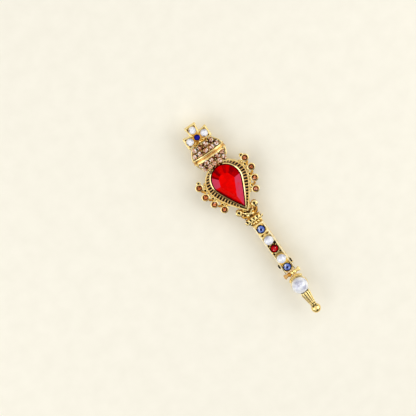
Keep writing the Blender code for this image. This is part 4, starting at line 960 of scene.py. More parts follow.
# %% Pear outline
SIDE_START = math.radians(20)
SIDE_PULL = 0.36
TIP_STRETCH = 1.9
STONE_TOP = 6.0

stone_low, stone_high = span("pear_stone")
PEAR_Y = stone_high.y - STONE_TOP
STONE_SIZE = (stone_high.x, STONE_TOP, PEAR_Y - stone_low.y)
frame_low, frame_high = span("ribbed_frame")
FRAME_SIZE = (frame_high.x, frame_high.y - PEAR_Y, PEAR_Y - frame_low.y)


def pear_point(size, share):
    """The point at this share of the way round a pear, from its tip and up its right side."""
    half_width, top, tip_depth = size
    if share > 0.5:
        mirrored = pear_point(size, 1 - share)
        return Vector((-mirrored.x, mirrored.y))
    corner = Vector((half_width * math.cos(SIDE_START), -half_width * math.sin(SIDE_START)))
    tip = Vector((0, -tip_depth))
    if share < 0.25:
        t = share / 0.25
        down = Vector((-math.sin(SIDE_START), -math.cos(SIDE_START)))
        pull = corner + down * SIDE_PULL * (tip - corner).length
        return tip * (1 - t) ** 2 + pull * 2 * t * (1 - t) + corner * t ** 2
    angle = -SIDE_START + (math.pi / 2 + SIDE_START) * (share - 0.25) / 0.25
    height = top if angle > 0 else half_width
    return Vector((half_width * math.cos(angle), height * math.sin(angle)))


def grown(size, grow):
    return size[0] + grow, size[1] + grow, size[2] + TIP_STRETCH * grow


def pear_loop(size, grow, z, count=120):
    """A pear's outline at a height above the back, as points of the pin."""
    line = [pear_point(grown(size, grow), i / count) for i in range(count)]
    return [Vector((p.x, p.y + PEAR_Y, BACK + z)) for p in line]


def even_shares(size, count):
    """Shares of the way round that lie evenly along the outline."""
    fine = 720
    points = [pear_point(size, i / fine) for i in range(fine + 1)]
    lengths = [0.0]
    for a, b in zip(points, points[1:]):
        lengths.append(lengths[-1] + (b - a).length)
    shares, i = [], 0
    for n in range(count):
        wanted = lengths[-1] * n / count
        while lengths[i + 1] < wanted:
            i += 1
        shares.append((i + (wanted - lengths[i]) / (lengths[i + 1] - lengths[i])) / fine)
    return shares


print("pear stone", [round(v, 2) for v in STONE_SIZE], "frame", [round(v, 2) for v in FRAME_SIZE])

# %% [markdown]
# ## The pear stone
# The large red stone has a flat table, five facets round its head and one long facet down each
# side. They are ground from a pear-shaped drum. Two facets are painted pink, a painted reflection
# of pale light, the head's facets are painted darker as shade, and the table's quarters carry
# slightly different painted light.

# %% Pear stone
SEAT, GIRDLE_LOW, GIRDLE_TOP = 0.66, 1.81, 2.06
STONE_PEAK = stone_high.z - BACK
STONE_INSET = -0.34
stone, facet = new_rough()
loops = [
    [Vector((p.x * 0.3, PEAR_Y + (p.y - PEAR_Y) * 0.3, BACK + SEAT)) for p in pear_loop(STONE_SIZE, STONE_INSET, 0)],
    pear_loop(STONE_SIZE, STONE_INSET, GIRDLE_LOW),
    pear_loop(STONE_SIZE, STONE_INSET, STONE_PEAK),
]
join(stone, lofted(loops))
bmesh.ops.translate(stone, vec=(0, -PEAR_Y, -BACK), verts=stone.verts)
girdle_line = [p - Vector((0, PEAR_Y, BACK)) for p in pear_loop(STONE_SIZE, STONE_INSET, 0)]


def pear_facet(degrees, table_share, low, tone):
    """Grinds one crown facet that faces this way."""
    direction = math.radians(degrees)
    out = Vector((math.cos(direction), math.sin(direction), 0))
    edge = max(point.dot(out) for point in girdle_line)
    return grind(stone, *sloping(direction, edge, table_share * edge, low, STONE_PEAK), tone)


# Tones of the head's facets, painted darker as shade; the one at 162 degrees is a painted pink reflection.
HEAD_TONES = {18: 0.36, 54: 0.52, 90: 0.44, 126: 0.36, 162: 1.0}
for degrees, tone in HEAD_TONES.items():
    pear_facet(degrees, 0.52, GIRDLE_TOP, tone)
# Down the right side a facet painted pink as a reflection, down the left a red one.
pear_facet(-26.7, 0.54, GIRDLE_TOP, 0.97)
pear_facet(206.7, 0.56, GIRDLE_TOP, 0.66)
for degrees, tone in {36: 0.30, 72: 0.64, 108: 0.52, 144: 0.26}.items():
    pear_facet(degrees, 0.70, GIRDLE_TOP + 0.55, tone)
pear_facet(206.7, 0.62, GIRDLE_TOP - 0.155, 0.36)
facet = stone.faces.layers.float["facet"]


def on_table(face):
    return face.calc_center_median().z > STONE_PEAK - 0.001


def on_head(face):
    """Whether a face is one of the head's red crown facets."""
    spot = face.calc_center_median()
    return GIRDLE_TOP < spot.z < STONE_PEAK - 0.001 and spot.y > 0 and face[facet] < 0.9


def split_faces(wanted, normal):
    """Divides some of the stone's faces along a plane through its middle."""
    chosen = [face for face in stone.faces if wanted(face)]
    parts = {part for face in chosen for part in [face, *face.edges, *face.verts]}
    bmesh.ops.bisect_plane(stone, geom=list(parts), dist=1e-6, plane_co=(0, 0, 0), plane_no=normal)


# Slivers of the head, in painted shade: the degrees at which each one ends, and its tone
HEAD_SLIVERS = ((20, 0.36), (45, 0.26), (60, 0.46), (75, 0.34), (92, 0.60), (101, 0.46), (116, 0.24), (130, 0.50), (180, 0.24))
for degrees, _ in HEAD_SLIVERS[:-1]:
    direction = math.radians(degrees)
    split_faces(on_head, (-math.sin(direction), math.cos(direction), 0))
for face in filter(on_head, stone.faces):
    spot = face.calc_center_median()
    degrees = math.degrees(math.atan2(spot.y, spot.x))
    sliver = next(tone for end, tone in HEAD_SLIVERS if degrees <= end)
    face[facet] = sliver + 0.5 * (face[facet] - 0.40)
# The table's quarters are painted slightly brighter and darker red: painted light.
TABLE_LIGHT_TONES = {(True, True): 0.58, (True, False): 0.68, (False, True): 0.66, (False, False): 0.61}
for normal in ((0, 1, 0), (1, 0, 0)):
    split_faces(on_table, normal)
for face in filter(on_table, stone.faces):
    spot = face.calc_center_median()
    face[facet] = TABLE_LIGHT_TONES[spot.y > 0, spot.x > 0]
bmesh.ops.translate(stone, vec=(0, PEAR_Y, BACK), verts=stone.verts)
add_piece(stone, "pear_stone_cut", [RUBY], "ruby_glass", "pear_stone", crease=1)

# %% [markdown]
# ## Bezel and ribbed frame
# A thin wall of metal, the bezel, stands round the stone. Round it lies a channel with ribs across
# it and a wire along its outer edge. The walls are loops of the outline, carried up and over by
# extrusion, and the ribs are small rounded bars set evenly round.

# %% Bezel
BEZEL_OUT, BEZEL_IN, BEZEL_RIM = 0.46, 0.06, 2.31
# The third number of each step is its finish; 1, on the inner wall, is painted shade.
bezel_steps = [
    (BEZEL_OUT, 0, 0), (BEZEL_OUT, 2.02, 0), (0.445, 2.09, 0), (0.40, 2.13, 0), (0.12, 2.285, 0),
    (0.08, BEZEL_RIM, 0), (0.05, 2.29, 0), (0.03, 2.20, 1), (0.03, 2.02, 1), (BEZEL_IN, 0.6, 1),
]
loops = [pear_loop(STONE_SIZE, grow, z) for grow, z, _ in bezel_steps]
bezel = bmesh.new()
join(bezel, lofted(loops, finishes=[finish for _, _, finish in bezel_steps[1:]]), material=None)
# The floor inside the bezel is painted shade too.
for face in bezel.faces:
    spot = face.calc_center_median()
    if len(face.verts) > 4 and spot.z > BACK + 0.3:
        face.material_index = 1
add_piece(bezel, "pear_bezel_wall", [GOLD, SHADOW], "gold_plate", "pear_bezel")

# %% Ribbed frame
RIM, FRAME_TOP, RIB_TOP, GROOVE = 0.50, 2.05, 1.95, 0.95
INNER_GROW = 0.58
RIBS = 48
RIB_WIDTH, RIB_FOOT = 0.46, 0.80
RIB_END = 2.6                      # the channel is plain this near to the frame's tip
frame_steps = [
    (FRAME_SIZE, 0, 0.0), (FRAME_SIZE, 0, 1.84), (FRAME_SIZE, -0.05, 1.97), (FRAME_SIZE, -0.13, FRAME_TOP),
    (FRAME_SIZE, -0.25, FRAME_TOP), (FRAME_SIZE, -0.37, FRAME_TOP), (FRAME_SIZE, -0.45, 1.97),
    (FRAME_SIZE, -RIM, 1.84), (FRAME_SIZE, -RIM, GROOVE), (STONE_SIZE, INNER_GROW, GROOVE),
    (STONE_SIZE, INNER_GROW, 0.0),
]
loops = [pear_loop(size, grow, z) for size, grow, z in frame_steps]
ribbed = bmesh.new()
# The two 1s are the channel's wall and floor between the ribs: painted shadow.
join(ribbed, lofted(loops, wrap=True, finishes=[0, 0, 0, 0, 0, 0, 0, 1, 1, 0]), material=None)
made_ribs = 0
for share in even_shares(FRAME_SIZE, RIBS):
    inner = pear_point(grown(STONE_SIZE, INNER_GROW), share)
    outer = pear_point(FRAME_SIZE, share)
    across = outer - inner
    length = across.length - 0.9 * RIM
    if length < RIB_WIDTH / 2 or outer.y < RIB_END - FRAME_SIZE[2]:
        continue
    direction = math.atan2(across.y, across.x)
    spot = inner + across.normalized() * length / 2
    rib = bar((length, RIB_WIDTH, RIB_TOP - RIB_FOOT), 0.09, 2)
    # Each rib takes the darker, warmer plate: painted shade.
    join(ribbed, rib, at((spot.x, spot.y + PEAR_Y, BACK + (RIB_TOP + RIB_FOOT) / 2), around(direction)), 2)
    made_ribs += 1
add_piece(ribbed, "ribbed_frame_cast", [GOLD, SHADOW, WARM], "gold_plate", "ribbed_frame")
print("ribs:", made_ribs)

# %% [markdown]
# ## Side cups
# Four small cups hang on each flank, chained to each other and to the frame by curled links. Each
# cup is turned with a rolled rim, the rail is a wire along the frame, and each link is a wire bent
# in an S.

# %% Side cups
CUP_WALL = [
    (0, 0), (0.72, 0), (0.86, 0.10), (0.96, 0.45), (1, 0.78), (1, 0.90), (0.97, 0.97), (0.90, 1),
    (0.77, 1), (0.70, 0.96), (0.667, 0.88), (0.667, 0.20), (0, 0.20),
]
CUP_MOUTH = 0.68                   # inside this share of its radius a cup is painted dark as shade
SIDE_CUP_HEIGHT = 1.90
RAIL_OUT, RAIL_WIRE = 0.40, 0.30
LINK_WIRE, LINK_RISE = 0.38, 1.25
CURL, CURL_WIRE = 0.62, 0.24
side_reach = max(middle(f"right_side_stone_{i}").x for i in range(1, 5))
SIDE_CUP_RADIUS = span("right_side_collets")[1].x - side_reach


def link_route(start, end, bow):
    """An S between two points: it leaves on one side of the straight line and ends on the other."""
    along = end - start
    aside = Vector((-along.y, along.x, 0)).normalized()
    steps = 14
    return [start + along * i / steps + aside * bow * math.sin(math.tau * i / steps) for i in range(steps + 1)]


def join_curl(piece, place, radius, thickness, finish=0):
    """A little ring of wire round a flat spot painted dark as shade. The piece's second finish is the dark one."""
    turns = [math.tau * k / 16 for k in range(16)]
    ring = [place + Vector((math.cos(a), math.sin(a), 0)) * radius for a in turns]
    join(piece, wire(ring, thickness, closed=True), material=finish)
    shade_spot = radius - 0.6 * thickness
    join(piece, ball(1, 12), at(place - Vector((0, 0, 0.2)), stretch=(shade_spot, shade_spot, 0.3)), 1)


def add_side_cups(side, name):
    places = [middle(f"{name}_side_stone_{i}") for i in range(1, 5)]
    places = [Vector((p.x, p.y, BACK)) for p in places]
    piece = bmesh.new()
    profile = [(r * SIDE_CUP_RADIUS, h * SIDE_CUP_HEIGHT) for r, h in CUP_WALL]
    for place in places:
        cup = turned(profile, 36)
        # The cup's mouth takes the near-black plate: painted shade.
        for face in cup.faces:
            spot = face.calc_center_median()
            face.material_index = 1 if spot.xy.length < CUP_MOUTH * SIDE_CUP_RADIUS and spot.z > 0.1 else 0
        join(piece, cup, at(place), None)
        edge = min((p for p in pear_loop(FRAME_SIZE, RAIL_OUT, 0, 400)), key=lambda p: (p - place).length)
        stem = (place - edge).normalized()
        spot = edge + stem * 0.35 + Vector((0, 0, 0.55))
        join(piece, bar((1.0, 0.8, 0.8), 0.18), at(spot, around(math.atan2(stem.y, stem.x))))
        join(piece, ball(0.42, 12), at(edge + stem * 0.15 + Vector((0, 0, 1.15))))
    line = [p for p in pear_loop(FRAME_SIZE, RAIL_OUT, 0.6, 200) if p.x * side > 0]
    kept = [p for p in line if places[-1].y - 0.5 < p.y < places[0].y + 0.5]
    kept.sort(key=lambda p: p.y)
    join(piece, wire(kept, RAIL_WIRE))
    rise = Vector((0, 0, LINK_RISE))
    inward = Vector((-side, 0, 0))
    for upper, lower in zip(places, places[1:]):
        along = (lower - upper).normalized()
        start = upper + along * SIDE_CUP_RADIUS * 0.90 + inward * 0.35
        end = lower - along * SIDE_CUP_RADIUS * 0.90 + inward * 0.55
        # The links take the darker amber plate: painted shade.
        join(piece, wire(link_route(start + rise, end + rise, 0.30 * side), LINK_WIRE), material=2)
        join_curl(piece, (start + end) / 2 + inward * 0.85 + rise, CURL, CURL_WIRE)
    crown_curl = places[0] + Vector((-0.62 * side, SIDE_CUP_RADIUS - 0.02, LINK_RISE))
    join_curl(piece, crown_curl, CURL, CURL_WIRE)
    add_piece(piece, f"{name}_side_collets_linked", [GOLD, SHADOW, AMBER], "gold_plate", f"{name}_side_collets")


add_side_cups(-1, "left")
add_side_cups(1, "right")

# %% Side stones
DRAW = random.Random(7)
# Tones are painted light of the foil: 0.95 is a painted glint, 0.15 a painted dark reflection.
CHAMPAGNE_TONES = [0.15, 0.30, 0.42, 0.52, 0.60, 0.72, 0.95]


def champagne_tones(weights):
    return DRAW.choices(CHAMPAGNE_TONES, weights=weights, k=8)


for name in ("left", "right"):
    for number in range(1, 5):
        node = f"{name}_side_stone_{number}"
        low, high = span(node)
        crown = 0.62
        tones = (
            champagne_tones((3, 4, 3, 2, 1, 1, 1)), champagne_tones((1, 2, 4, 4, 2, 1, 1)),
            champagne_tones((0, 3, 5, 4, 0, 0, 0)),
        )
        stone = round_stone(0.89 * (high.x - low.x) / 2, crown, 1.2, 8, *tones, turn=DRAW.random())
        piece = bmesh.new()
        piece.faces.layers.float.new("facet")
        join(piece, stone, at(((low.x + high.x) / 2, (low.y + high.y) / 2, high.z - crown)))
        add_piece(piece, node + "_cut", [SIDE_CHAMPAGNE], "champagne_glass", node, crease=1)

# %% [markdown]
# ## The scroll collar and the ruff
# Below the pear's tip two volutes curl out on each side of a knot, and a ruff of small curled
# leaves sits under them. A volute is a wire whose route is a spiral; a curled leaf is most of a
# ring, with a leaf's tip below it.

# %% Scroll collar
low, high = span("scroll_collar")
VOLUTE, VOLUTE_WIRE = 1.45, 0.46
volute_x = high.x - VOLUTE
volute_y = high.y - VOLUTE


def spiral(centre, radius, start, turns, side):
    """A route that winds inwards and rises a little."""
    steps = int(28 * turns)
    route = []
    for i in range(steps + 1):
        share = i / steps
        angle = start + side * math.tau * turns * share
        reach = radius * (1 - 0.42 * share)
        route.append(centre + Vector((math.cos(angle) * reach, math.sin(angle) * reach, 0.45 * share)))
    return route


def across_scroll(side, points):
    """A route on the scroll, from (x, y above its foot, z above the back) points."""
    return [Vector((side * x, low.y + y, BACK + z)) for x, y, z in points]


def plain_back(piece):
    """Gives what lies low on a piece, its back and the foot of its sides, the plain plate."""
    for face in piece.faces:
        if face.calc_center_median().z < BACK + 0.6:
            face.material_index = 0


scroll = bmesh.new()
foot = [(2.7, 0.10), (3.5, 1.6), (3.5, 2.9), (2.5, 3.3), (0, 1.75)]
base = plate([(x, y + low.y) for x, y in foot] + [(-x, y + low.y) for x, y in foot[-2::-1]], BACK, BACK + 1.1)
bevel(base, base.edges, 0.2, 3)
# The base between the ornaments takes the dark brown plate: painted shade.
join(scroll, base, material=3)
DRUM = [(0, 0), (1.15, 0), (1.25, 0.15), (1.25, 0.95), (1.15, 1.05), (0, 1.05)]
for side in (-1, 1):
    centre = Vector((side * volute_x, volute_y, BACK + 1.5))
    # An amber drum under each volute is painted shade round the wire; a near-black ball is its painted eye.
    join(scroll, turned(DRUM, 32), at(centre - Vector((0, 0, 1.4))), 2)
    join(scroll, ball(1, 16), at(centre, stretch=(0.50, 0.50, 0.50)), 1)
    route = spiral(centre, VOLUTE - VOLUTE_WIRE, -math.pi / 2 - 0.6 * side, 1.35, side)
    thick = [VOLUTE_WIRE * (1 - 0.48 * i / len(route)) for i in range(len(route))]
    join(scroll, wire(route, thick))
    stalk = across_scroll(side, ((0.5, 0.45, 1.9), (1.6, 0.55, 1.8), (2.6, 1.0, 1.6), (3.2, 1.8, 1.4)))
    join(scroll, wire(stalk, [0.40, 0.52, 0.52, 0.40]), material=2)
    strand = across_scroll(side, ((-1.7, 0.55, 1.6), (-0.8, 0.95, 2.3), (0.4, 1.5, 2.4), (1.5, 2.2, 1.9), (2.3, 2.9, 1.4)))
    join(scroll, wire(strand, [0.26, 0.36, 0.40, 0.36, 0.26]))
join(scroll, ball(1, 20), at((0, low.y + 1.15, BACK + 1.2), stretch=(2.0, 1.05, 1.05)), 2)
KNOT_BEADS = ((-1.30, 1.25), (0.90, 1.95), (1.65, 2.00), (-2.60, 1.90), (0.10, 0.95))
# Near-black spots among the knot's beads: painted shade.
KNOT_SHADE_SPOTS = ((-0.20, 2.15), (1.25, 2.60), (-1.50, 2.60), (3.30, 2.70), (-2.50, 0.55), (-0.60, 0.35))
for x, y in KNOT_BEADS:
    join(scroll, ball(0.36, 12), at((x, low.y + y, BACK + 2.15)))
for x, y in KNOT_SHADE_SPOTS:
    join(scroll, ball(0.34, 12), at((x, low.y + y, BACK + 1.95)), 1)
plain_back(scroll)
add_piece(scroll, "scroll_collar_cast", [GOLD, SHADOW, AMBER, UNDERCUT_SHADE], "gold_plate", "scroll_collar")

# %% Leaf ruff
low, high = span("leaf_ruff")
LEAVES = 5
CURL_REACH, TIP_REACH = 2.80, 1.95
LEAF_SHADE = Vector((0.30, 0.42, 0.30))
LEAF_SHADE_SHARES = (1.6, 1.3, 0.8, 1.3, 0.6)
ruff = bmesh.new()
core = [(3.1, high.y - 0.05), (2.0, low.y + 0.15)]
base = plate(core + [(-x, y) for x, y in reversed(core)], BACK, BACK + 1.25)
bevel(base, base.edges, 0.2, 2)
# The base between the curls takes the amber plate: painted shade.
join(ruff, base, material=2)
for i in range(LEAVES):
    spread = 2 * i / (LEAVES - 1) - 1
    droop = 0.5 * abs(spread)
    place = Vector((spread * CURL_REACH, high.y - 0.95 - 0.3 * droop, BACK + 1.75 - droop))
    start = math.radians(100) - 0.9 * spread
    arc = [start + math.radians(300) * k / 20 for k in range(21)]
    curl = [place + Vector((0.60 * math.cos(a), 0.74 * math.sin(a), 0)) for a in arc]
    join(ruff, wire(curl, 0.32))
    # A near-black spot in each curl: painted shade.
    join(ruff, ball(1, 12), at(place - Vector((0, 0, 0.15)), stretch=LEAF_SHADE * LEAF_SHADE_SHARES[i]), 1)
    tip = Vector((spread * TIP_REACH, low.y + 0.80 + 0.4 * droop, BACK + 1.35 - 0.8 * droop))
    join(ruff, ball(1, 16), at(tip, around(0.45 * spread), (0.42, 0.78, 0.6)))
# Near-black spots between the leaf tips: painted shade.
for x, y in ((-1.95, 0.70), (-1.00, 1.35), (0.95, 1.45), (-2.40, 1.35)):
    join(ruff, ball(0.32, 12), at((x, low.y + y, BACK + 1.45)), 1)
plain_back(ruff)
add_piece(ruff, "leaf_ruff_curled", [GOLD, SHADOW, AMBER], "gold_plate", "leaf_ruff")

# %% [markdown]
# ## The orb
# Half an orb with a flat back carries four rows of stones and a plain band. The shell is a half
# turn of its outline, flattened in depth, and the frame's shoulder is cut out of its foot. Each
# stone faces straight out of the shell, and small beads hold it at its corners.

# %% Orb shell
ORB_DEPTH = 0.60
band_low, band_high = span("orb_band")
shell_low, shell_high = span("orb_shell")
BAND_Y = (band_low.y + band_high.y) / 2
ORB_FOOT_Y = FRAME_SIZE[1] + PEAR_Y - 1.35
ORB_TOP_Y = shell_high.y + 0.02
ORB_HALF_WIDTH, ORB_FOOT, ORB_CROWN, ORB_GROOVE = 6.30, 3.80, 3.60, 0.38


def orb_half_width(y):
    """Half the orb's width at a place along the pin."""
    if y < BAND_Y:
        reach, end = BAND_Y - ORB_FOOT_Y, ORB_FOOT
    else:
        reach, end = ORB_TOP_Y - BAND_Y, ORB_CROWN
    return ORB_HALF_WIDTH - (ORB_HALF_WIDTH - end) * ((y - BAND_Y) / reach) ** 2


def on_orb(y, turn=0.0):
    return at((0, y, BACK), Matrix.Diagonal((1, 1, ORB_DEPTH, 1)) @ ALONG_PIN)


levels = 24
heights = [ORB_FOOT_Y + (shell_high.y - ORB_FOOT_Y) * i / levels for i in range(levels + 1)]
outline = [(0, heights[0])] + [(orb_half_width(y) - ORB_GROOVE, y) for y in heights] + [(0, heights[-1])]
shell = turned(outline, 48, -math.pi)
bmesh.ops.transform(shell, matrix=on_orb(0), verts=shell.verts)
shoulder = [(p.x, p.y) for p in pear_loop(FRAME_SIZE, 0.10, 0)]
shell = carved(shell, plate(shoulder, BACK - 5, BACK + 12))
orb = bmesh.new()
# The shell's front, seen between the stones, takes the patchy dark plate: painted shade in the gaps.
for face in shell.faces:
    face.material_index = 0 if face.calc_center_median().z < BACK + 0.01 else 1
join(orb, shell, material=None)
for y, inset in ((heights[-1] - 0.16, 0.0), (ORB_FOOT_Y + 1.9, 0.02)):
    rim_half = orb_half_width(y) - 0.22 - inset
    arc = [math.pi * k / 40 for k in range(41)]
    route = [Vector((rim_half * math.cos(a), y, BACK + 0.3 + ORB_DEPTH * (rim_half - 0.3) * math.sin(a))) for a in arc]
    join(orb, wire(route, 0.22))
for side in (-1, 1):
    for start, end in ((ORB_FOOT_Y + 1.9, BAND_Y - 0.5), (BAND_Y + 0.5, heights[-1] - 0.16)):
        line = [start + (end - start) * k / 16 for k in range(17)]
        join(orb, wire([Vector((side * (orb_half_width(y) - 0.05), y, BACK + 0.4)) for y in line], 0.26))
add_piece(orb, "orb_shell_cast", [GOLD, ORB_GAP_SHADE], "gold_plate", "orb_shell")

# %% Orb band
band_crest = band_high.x
BAND_LAP = 0.40                    # how far the band laps over the row of stones below it
band_half = (band_high.y - band_low.y + BAND_LAP) / 2
band_inner = orb_half_width(BAND_Y) - ORB_GROOVE + 0.1
BAND_CHANNEL = 0.52                # the share of the band's width that is sunk, rougher and painted darker as shade
BAND_LINE = 0.17                   # the share that a fine darker line along its middle takes
BAND_EDGE = [
    (0, 1), (0.60, 1), (0.86, 0.94), (1, 0.80), (0.96, 0.64), (0.84, BAND_CHANNEL), (0.80, BAND_LINE),
    (0.66, 0.6 * BAND_LINE),
]
BAND_SECTION = [(r, -h) for r, h in BAND_EDGE] + BAND_EDGE[::-1] + [(0, -1)]
section = [(band_inner + (band_crest - band_inner) * r, h * band_half) for r, h in BAND_SECTION]
band = bmesh.new()
shape = turned(section, 64, -math.pi)
for face in shape.faces:
    spot = face.calc_center_median()
    share = abs(spot.z) / band_half
    face.material_index = 2 if share < BAND_LINE else 1 if share < BAND_CHANNEL else 0
join(band, shape, on_orb(BAND_Y - BAND_LAP / 2), None)
add_piece(band, "orb_band_polished", [GOLD, WARM, AMBER], "gold_plate", "orb_band")

# %% Rows of stones on the orb
ORB_ROWS = ((5, 2.15), (5, 2.35), (5, 2.45), (4, 2.45))
ORB_STONE_RADIUS = 0.93
ORB_LIFT = 0.666


def even_places(half_width, lift, pitch, count):
    """Points a pitch apart on the orb's outline, lifted off it, with the way each one faces."""
    def lifted(angle):
        normal = Vector((ORB_DEPTH * math.sin(angle), math.cos(angle))).normalized()
        surface = Vector((half_width * math.sin(angle), ORB_DEPTH * half_width * math.cos(angle)))
        return surface + normal * lift, normal

    fine = 2000
    line = [lifted(math.pi / 2 * (i / fine)) for i in range(-fine, fine + 1)]
    walked = [0.0]
    for (a, _), (b, _) in zip(line, line[1:]):
        walked.append(walked[-1] + (b - a).length)
    half = walked[fine]
    wanted = [half + pitch * (k - (count - 1) / 2) for k in range(count)]
    return [line[min(range(len(walked)), key=lambda i: abs(walked[i] - distance))] for distance in wanted]


def facing_out(normal):
    """Turns a shape's own Z axis to a direction across the pin."""
    return Matrix.Rotation(math.atan2(normal.x, normal.y), 4, "Y")


for number, (count, pitch) in enumerate(ORB_ROWS, start=1):
    node = f"orb_stone_row_{number}"
    y = middle(node).y
    half_width = orb_half_width(y) - ORB_GROOVE
    stones = bmesh.new()
    stones.faces.layers.float.new("facet")
    for point, normal in even_places(half_width, ORB_LIFT, pitch, count):
        # The orb's stones weigh 0.95 most: more painted glints.
        tones = (
            champagne_tones((3, 2, 2, 1, 1, 3, 6)), champagne_tones((3, 2, 2, 1, 1, 3, 6)),
            champagne_tones((3, 2, 1, 1, 1, 2, 5)),
        )
        stone = round_stone(ORB_STONE_RADIUS, 0.50, 0.45, 6, *tones, turn=DRAW.random())
        join(stones, stone, at((point.x, y, BACK + point.y), facing_out(normal)))
    add_piece(stones, node + "_cut", [CHAMPAGNE], "champagne_glass", node, crease=1)

# %% Beads that hold the orb's stones
beads = bmesh.new()
for number, (count, pitch) in enumerate(ORB_ROWS, start=1):
    y = middle(f"orb_stone_row_{number}").y
    for point, normal in even_places(orb_half_width(y) - ORB_GROOVE, ORB_LIFT - 0.1, pitch, count + 1):
        for side in (-1, 1):
            join(beads, bead(0.26), at((point.x, y + side * 0.62, BACK + point.y), facing_out(normal)))
add_piece(beads, "orb_beads", [GOLD], "gold_plate")

# %% [markdown]
# ## The cross
# The cross is cast with a raised rim round a sunk floor. A flat outline could be inset and pushed
# down, but a rounded rim is easier as a loft: the outline is carried up, over and down again, a
# little smaller each time. A Boolean then drills the seats of the four stones.

# %% Cross
CROSS_NOTCH, CROSS_ARM_END, CROSS_FOOT = 1.85, 2.50, 2.35
CROSS_BOW, CORNER = 0.10, 0.75
CROSS_RECESS, PIT_FLOOR, STONE_SPACE = 0.55, 0.50, 0.03
CROSS_STONE_NODES = ("cross_crystal_top", "cross_crystal_left", "cross_crystal_right", "cross_sapphire")
low, high = span("cross")
cross_y = middle("cross_sapphire").y
cross_height = high.z - BACK


def bowed(start, pull, end, count):
    """Points on a curve from one point to another, drawn to a third."""
    shares = [i / count for i in range(count + 1)]
    return [start * (1 - t) ** 2 + pull * 2 * t * (1 - t) + end * t ** 2 for t in shares]


def arm_side(length, inset):
    """The right side of an arm that points up: from its notch, round its corner, to its end."""
    notch = Vector((CROSS_NOTCH - inset,) * 2)
    corner = Vector((CROSS_ARM_END - inset, length - inset))
    waist = Vector((notch.x - CROSS_BOW, (notch.y + corner.y) / 2))
    side = bowed(notch, waist, corner, 8)[:-1]
    return side[:-2] + bowed(side[-2], corner, corner - Vector((CORNER, 0)), 5)


def cross_loop(inset, z):
    """The cross's outline, made smaller all round, at a height above the back."""
    upper = [(p.x, p.y) for p in reversed(arm_side(high.y - cross_y, inset))]
    beside = [(p.y, p.x) for p in arm_side(high.x, inset)]
    foot = [(CROSS_ARM_END - inset, inset - CROSS_FOOT)]
    half = upper + beside[1:] + [(x, -y) for x, y in reversed(beside)] + foot
    line = half + [(-x, y) for x, y in reversed(half)]
    return [Vector((x, y + cross_y, BACK + z)) for x, y in line]


RIM_STEPS = [(0, 0), (0, -0.16), (0.05, -0.05), (0.14, 0), (0.46, 0), (0.55, -0.05), (0.60, -0.16)]
loops = [cross_loop(0, 0)] + [cross_loop(inset, cross_height + drop) for inset, drop in RIM_STEPS[1:]]
shape = lofted(loops + [cross_loop(RIM_STEPS[-1][0], cross_height - CROSS_RECESS)])
# The sunk floor takes the darker amber plate as painted shade; the rim at the foot takes the same amber.
for face in shape.faces:
    spot = face.calc_center_median()
    at_foot = abs(spot.x) < CROSS_ARM_END and spot.y < cross_y - CROSS_FOOT + RIM_STEPS[-1][0]
    if spot.z > BACK + 1 and (len(face.verts) > 4 or at_foot):
        face.material_index = 2
drill = bmesh.new()
for node in CROSS_STONE_NODES:
    spot = middle(node)
    reach = (span(node)[1].x - span(node)[0].x) / 2 + STONE_SPACE
    pit = [(0, PIT_FLOOR), (reach, PIT_FLOOR), (reach, 2 * cross_height), (0, 2 * cross_height)]
    join(drill, turned(pit, 40), at((spot.x, spot.y, BACK)))
cross = bmesh.new()
join(cross, carved(shape, drill), material=None)
floor_z = BACK + cross_height - CROSS_RECESS
foot_y = cross_y - 1.80
for x in (-2.35, -1.12, 1.12, 2.35):
    join_curl(cross, Vector((x, foot_y, floor_z + 0.35)), 0.40, 0.22, 2)
join(cross, ball(1, 12), at((0, foot_y, floor_z + 0.40), stretch=(0.36, 0.62, 0.40)))
PRONG, PRONG_OUT = 0.32, 1.28
for x in (-PRONG_OUT, PRONG_OUT):
    for y in (-PRONG_OUT, PRONG_OUT):
        join(cross, bead(PRONG), at((x, cross_y + y, floor_z + 0.2)))
# Near-black spots in the arms' corners: painted shade.
CORNER_SHADE = Vector((0.26, 0.26, 0.10))
for x, y in ((1.50, 4.12), (3.98, 1.54), (3.98, -1.54)):
    for side in (-1, 1):
        join(cross, ball(1, 12), at((side * x, cross_y + y, floor_z), stretch=CORNER_SHADE), 1)
add_piece(cross, "cross_cast", [GOLD, SHADOW, AMBER], "gold_plate", "cross", crease=40)

# %% Stones of the cross
# Tones are painted light: the clear stones are mostly painted highlights, the blue one painted dark.
CLEAR_CROWN = [0.55, 0.80, 0.95, 0.35, 0.90, 0.70, 0.98, 0.45]
CLEAR_RING = [0.95, 0.70, 0.98, 0.60, 0.92, 0.98, 0.50, 0.85]
CLEAR_CORE = [0.90, 0.60, 0.98, 0.75, 0.40, 0.95, 0.80, 0.65]
DEEP_CROWN = [0.20, 0.35, 0.10, 0.45, 0.25, 0.60, 0.15, 0.40]
DEEP_RING = [0.50, 0.42, 0.58, 0.46, 0.62, 0.40, 0.52, 0.48]
DEEP_CORE = [0.48, 0.56, 0.44, 0.60, 0.50, 0.40, 0.54, 0.46]
CLEAR = (CRYSTAL, "crystal_glass", (CLEAR_CROWN, CLEAR_RING, CLEAR_CORE))
DEEP = (SAPPHIRE, "sapphire_glass", (DEEP_CROWN, DEEP_RING, DEEP_CORE))
for i, (node, (finish, slot, tones)) in enumerate(zip(CROSS_STONE_NODES, (CLEAR, CLEAR, CLEAR, DEEP))):
    low, high = span(node)
    crown = 0.74
    stone = round_stone((high.x - low.x) / 2, crown, high.z - low.z - crown, 8, *tones, turn=0.3 + 0.7 * i)
    piece = bmesh.new()
    piece.faces.layers.float.new("facet")
    join(piece, stone, at(((low.x + high.x) / 2, (low.y + high.y) / 2, high.z - crown)))
    add_piece(piece, node + "_cut", [finish], slot, node, crease=1)

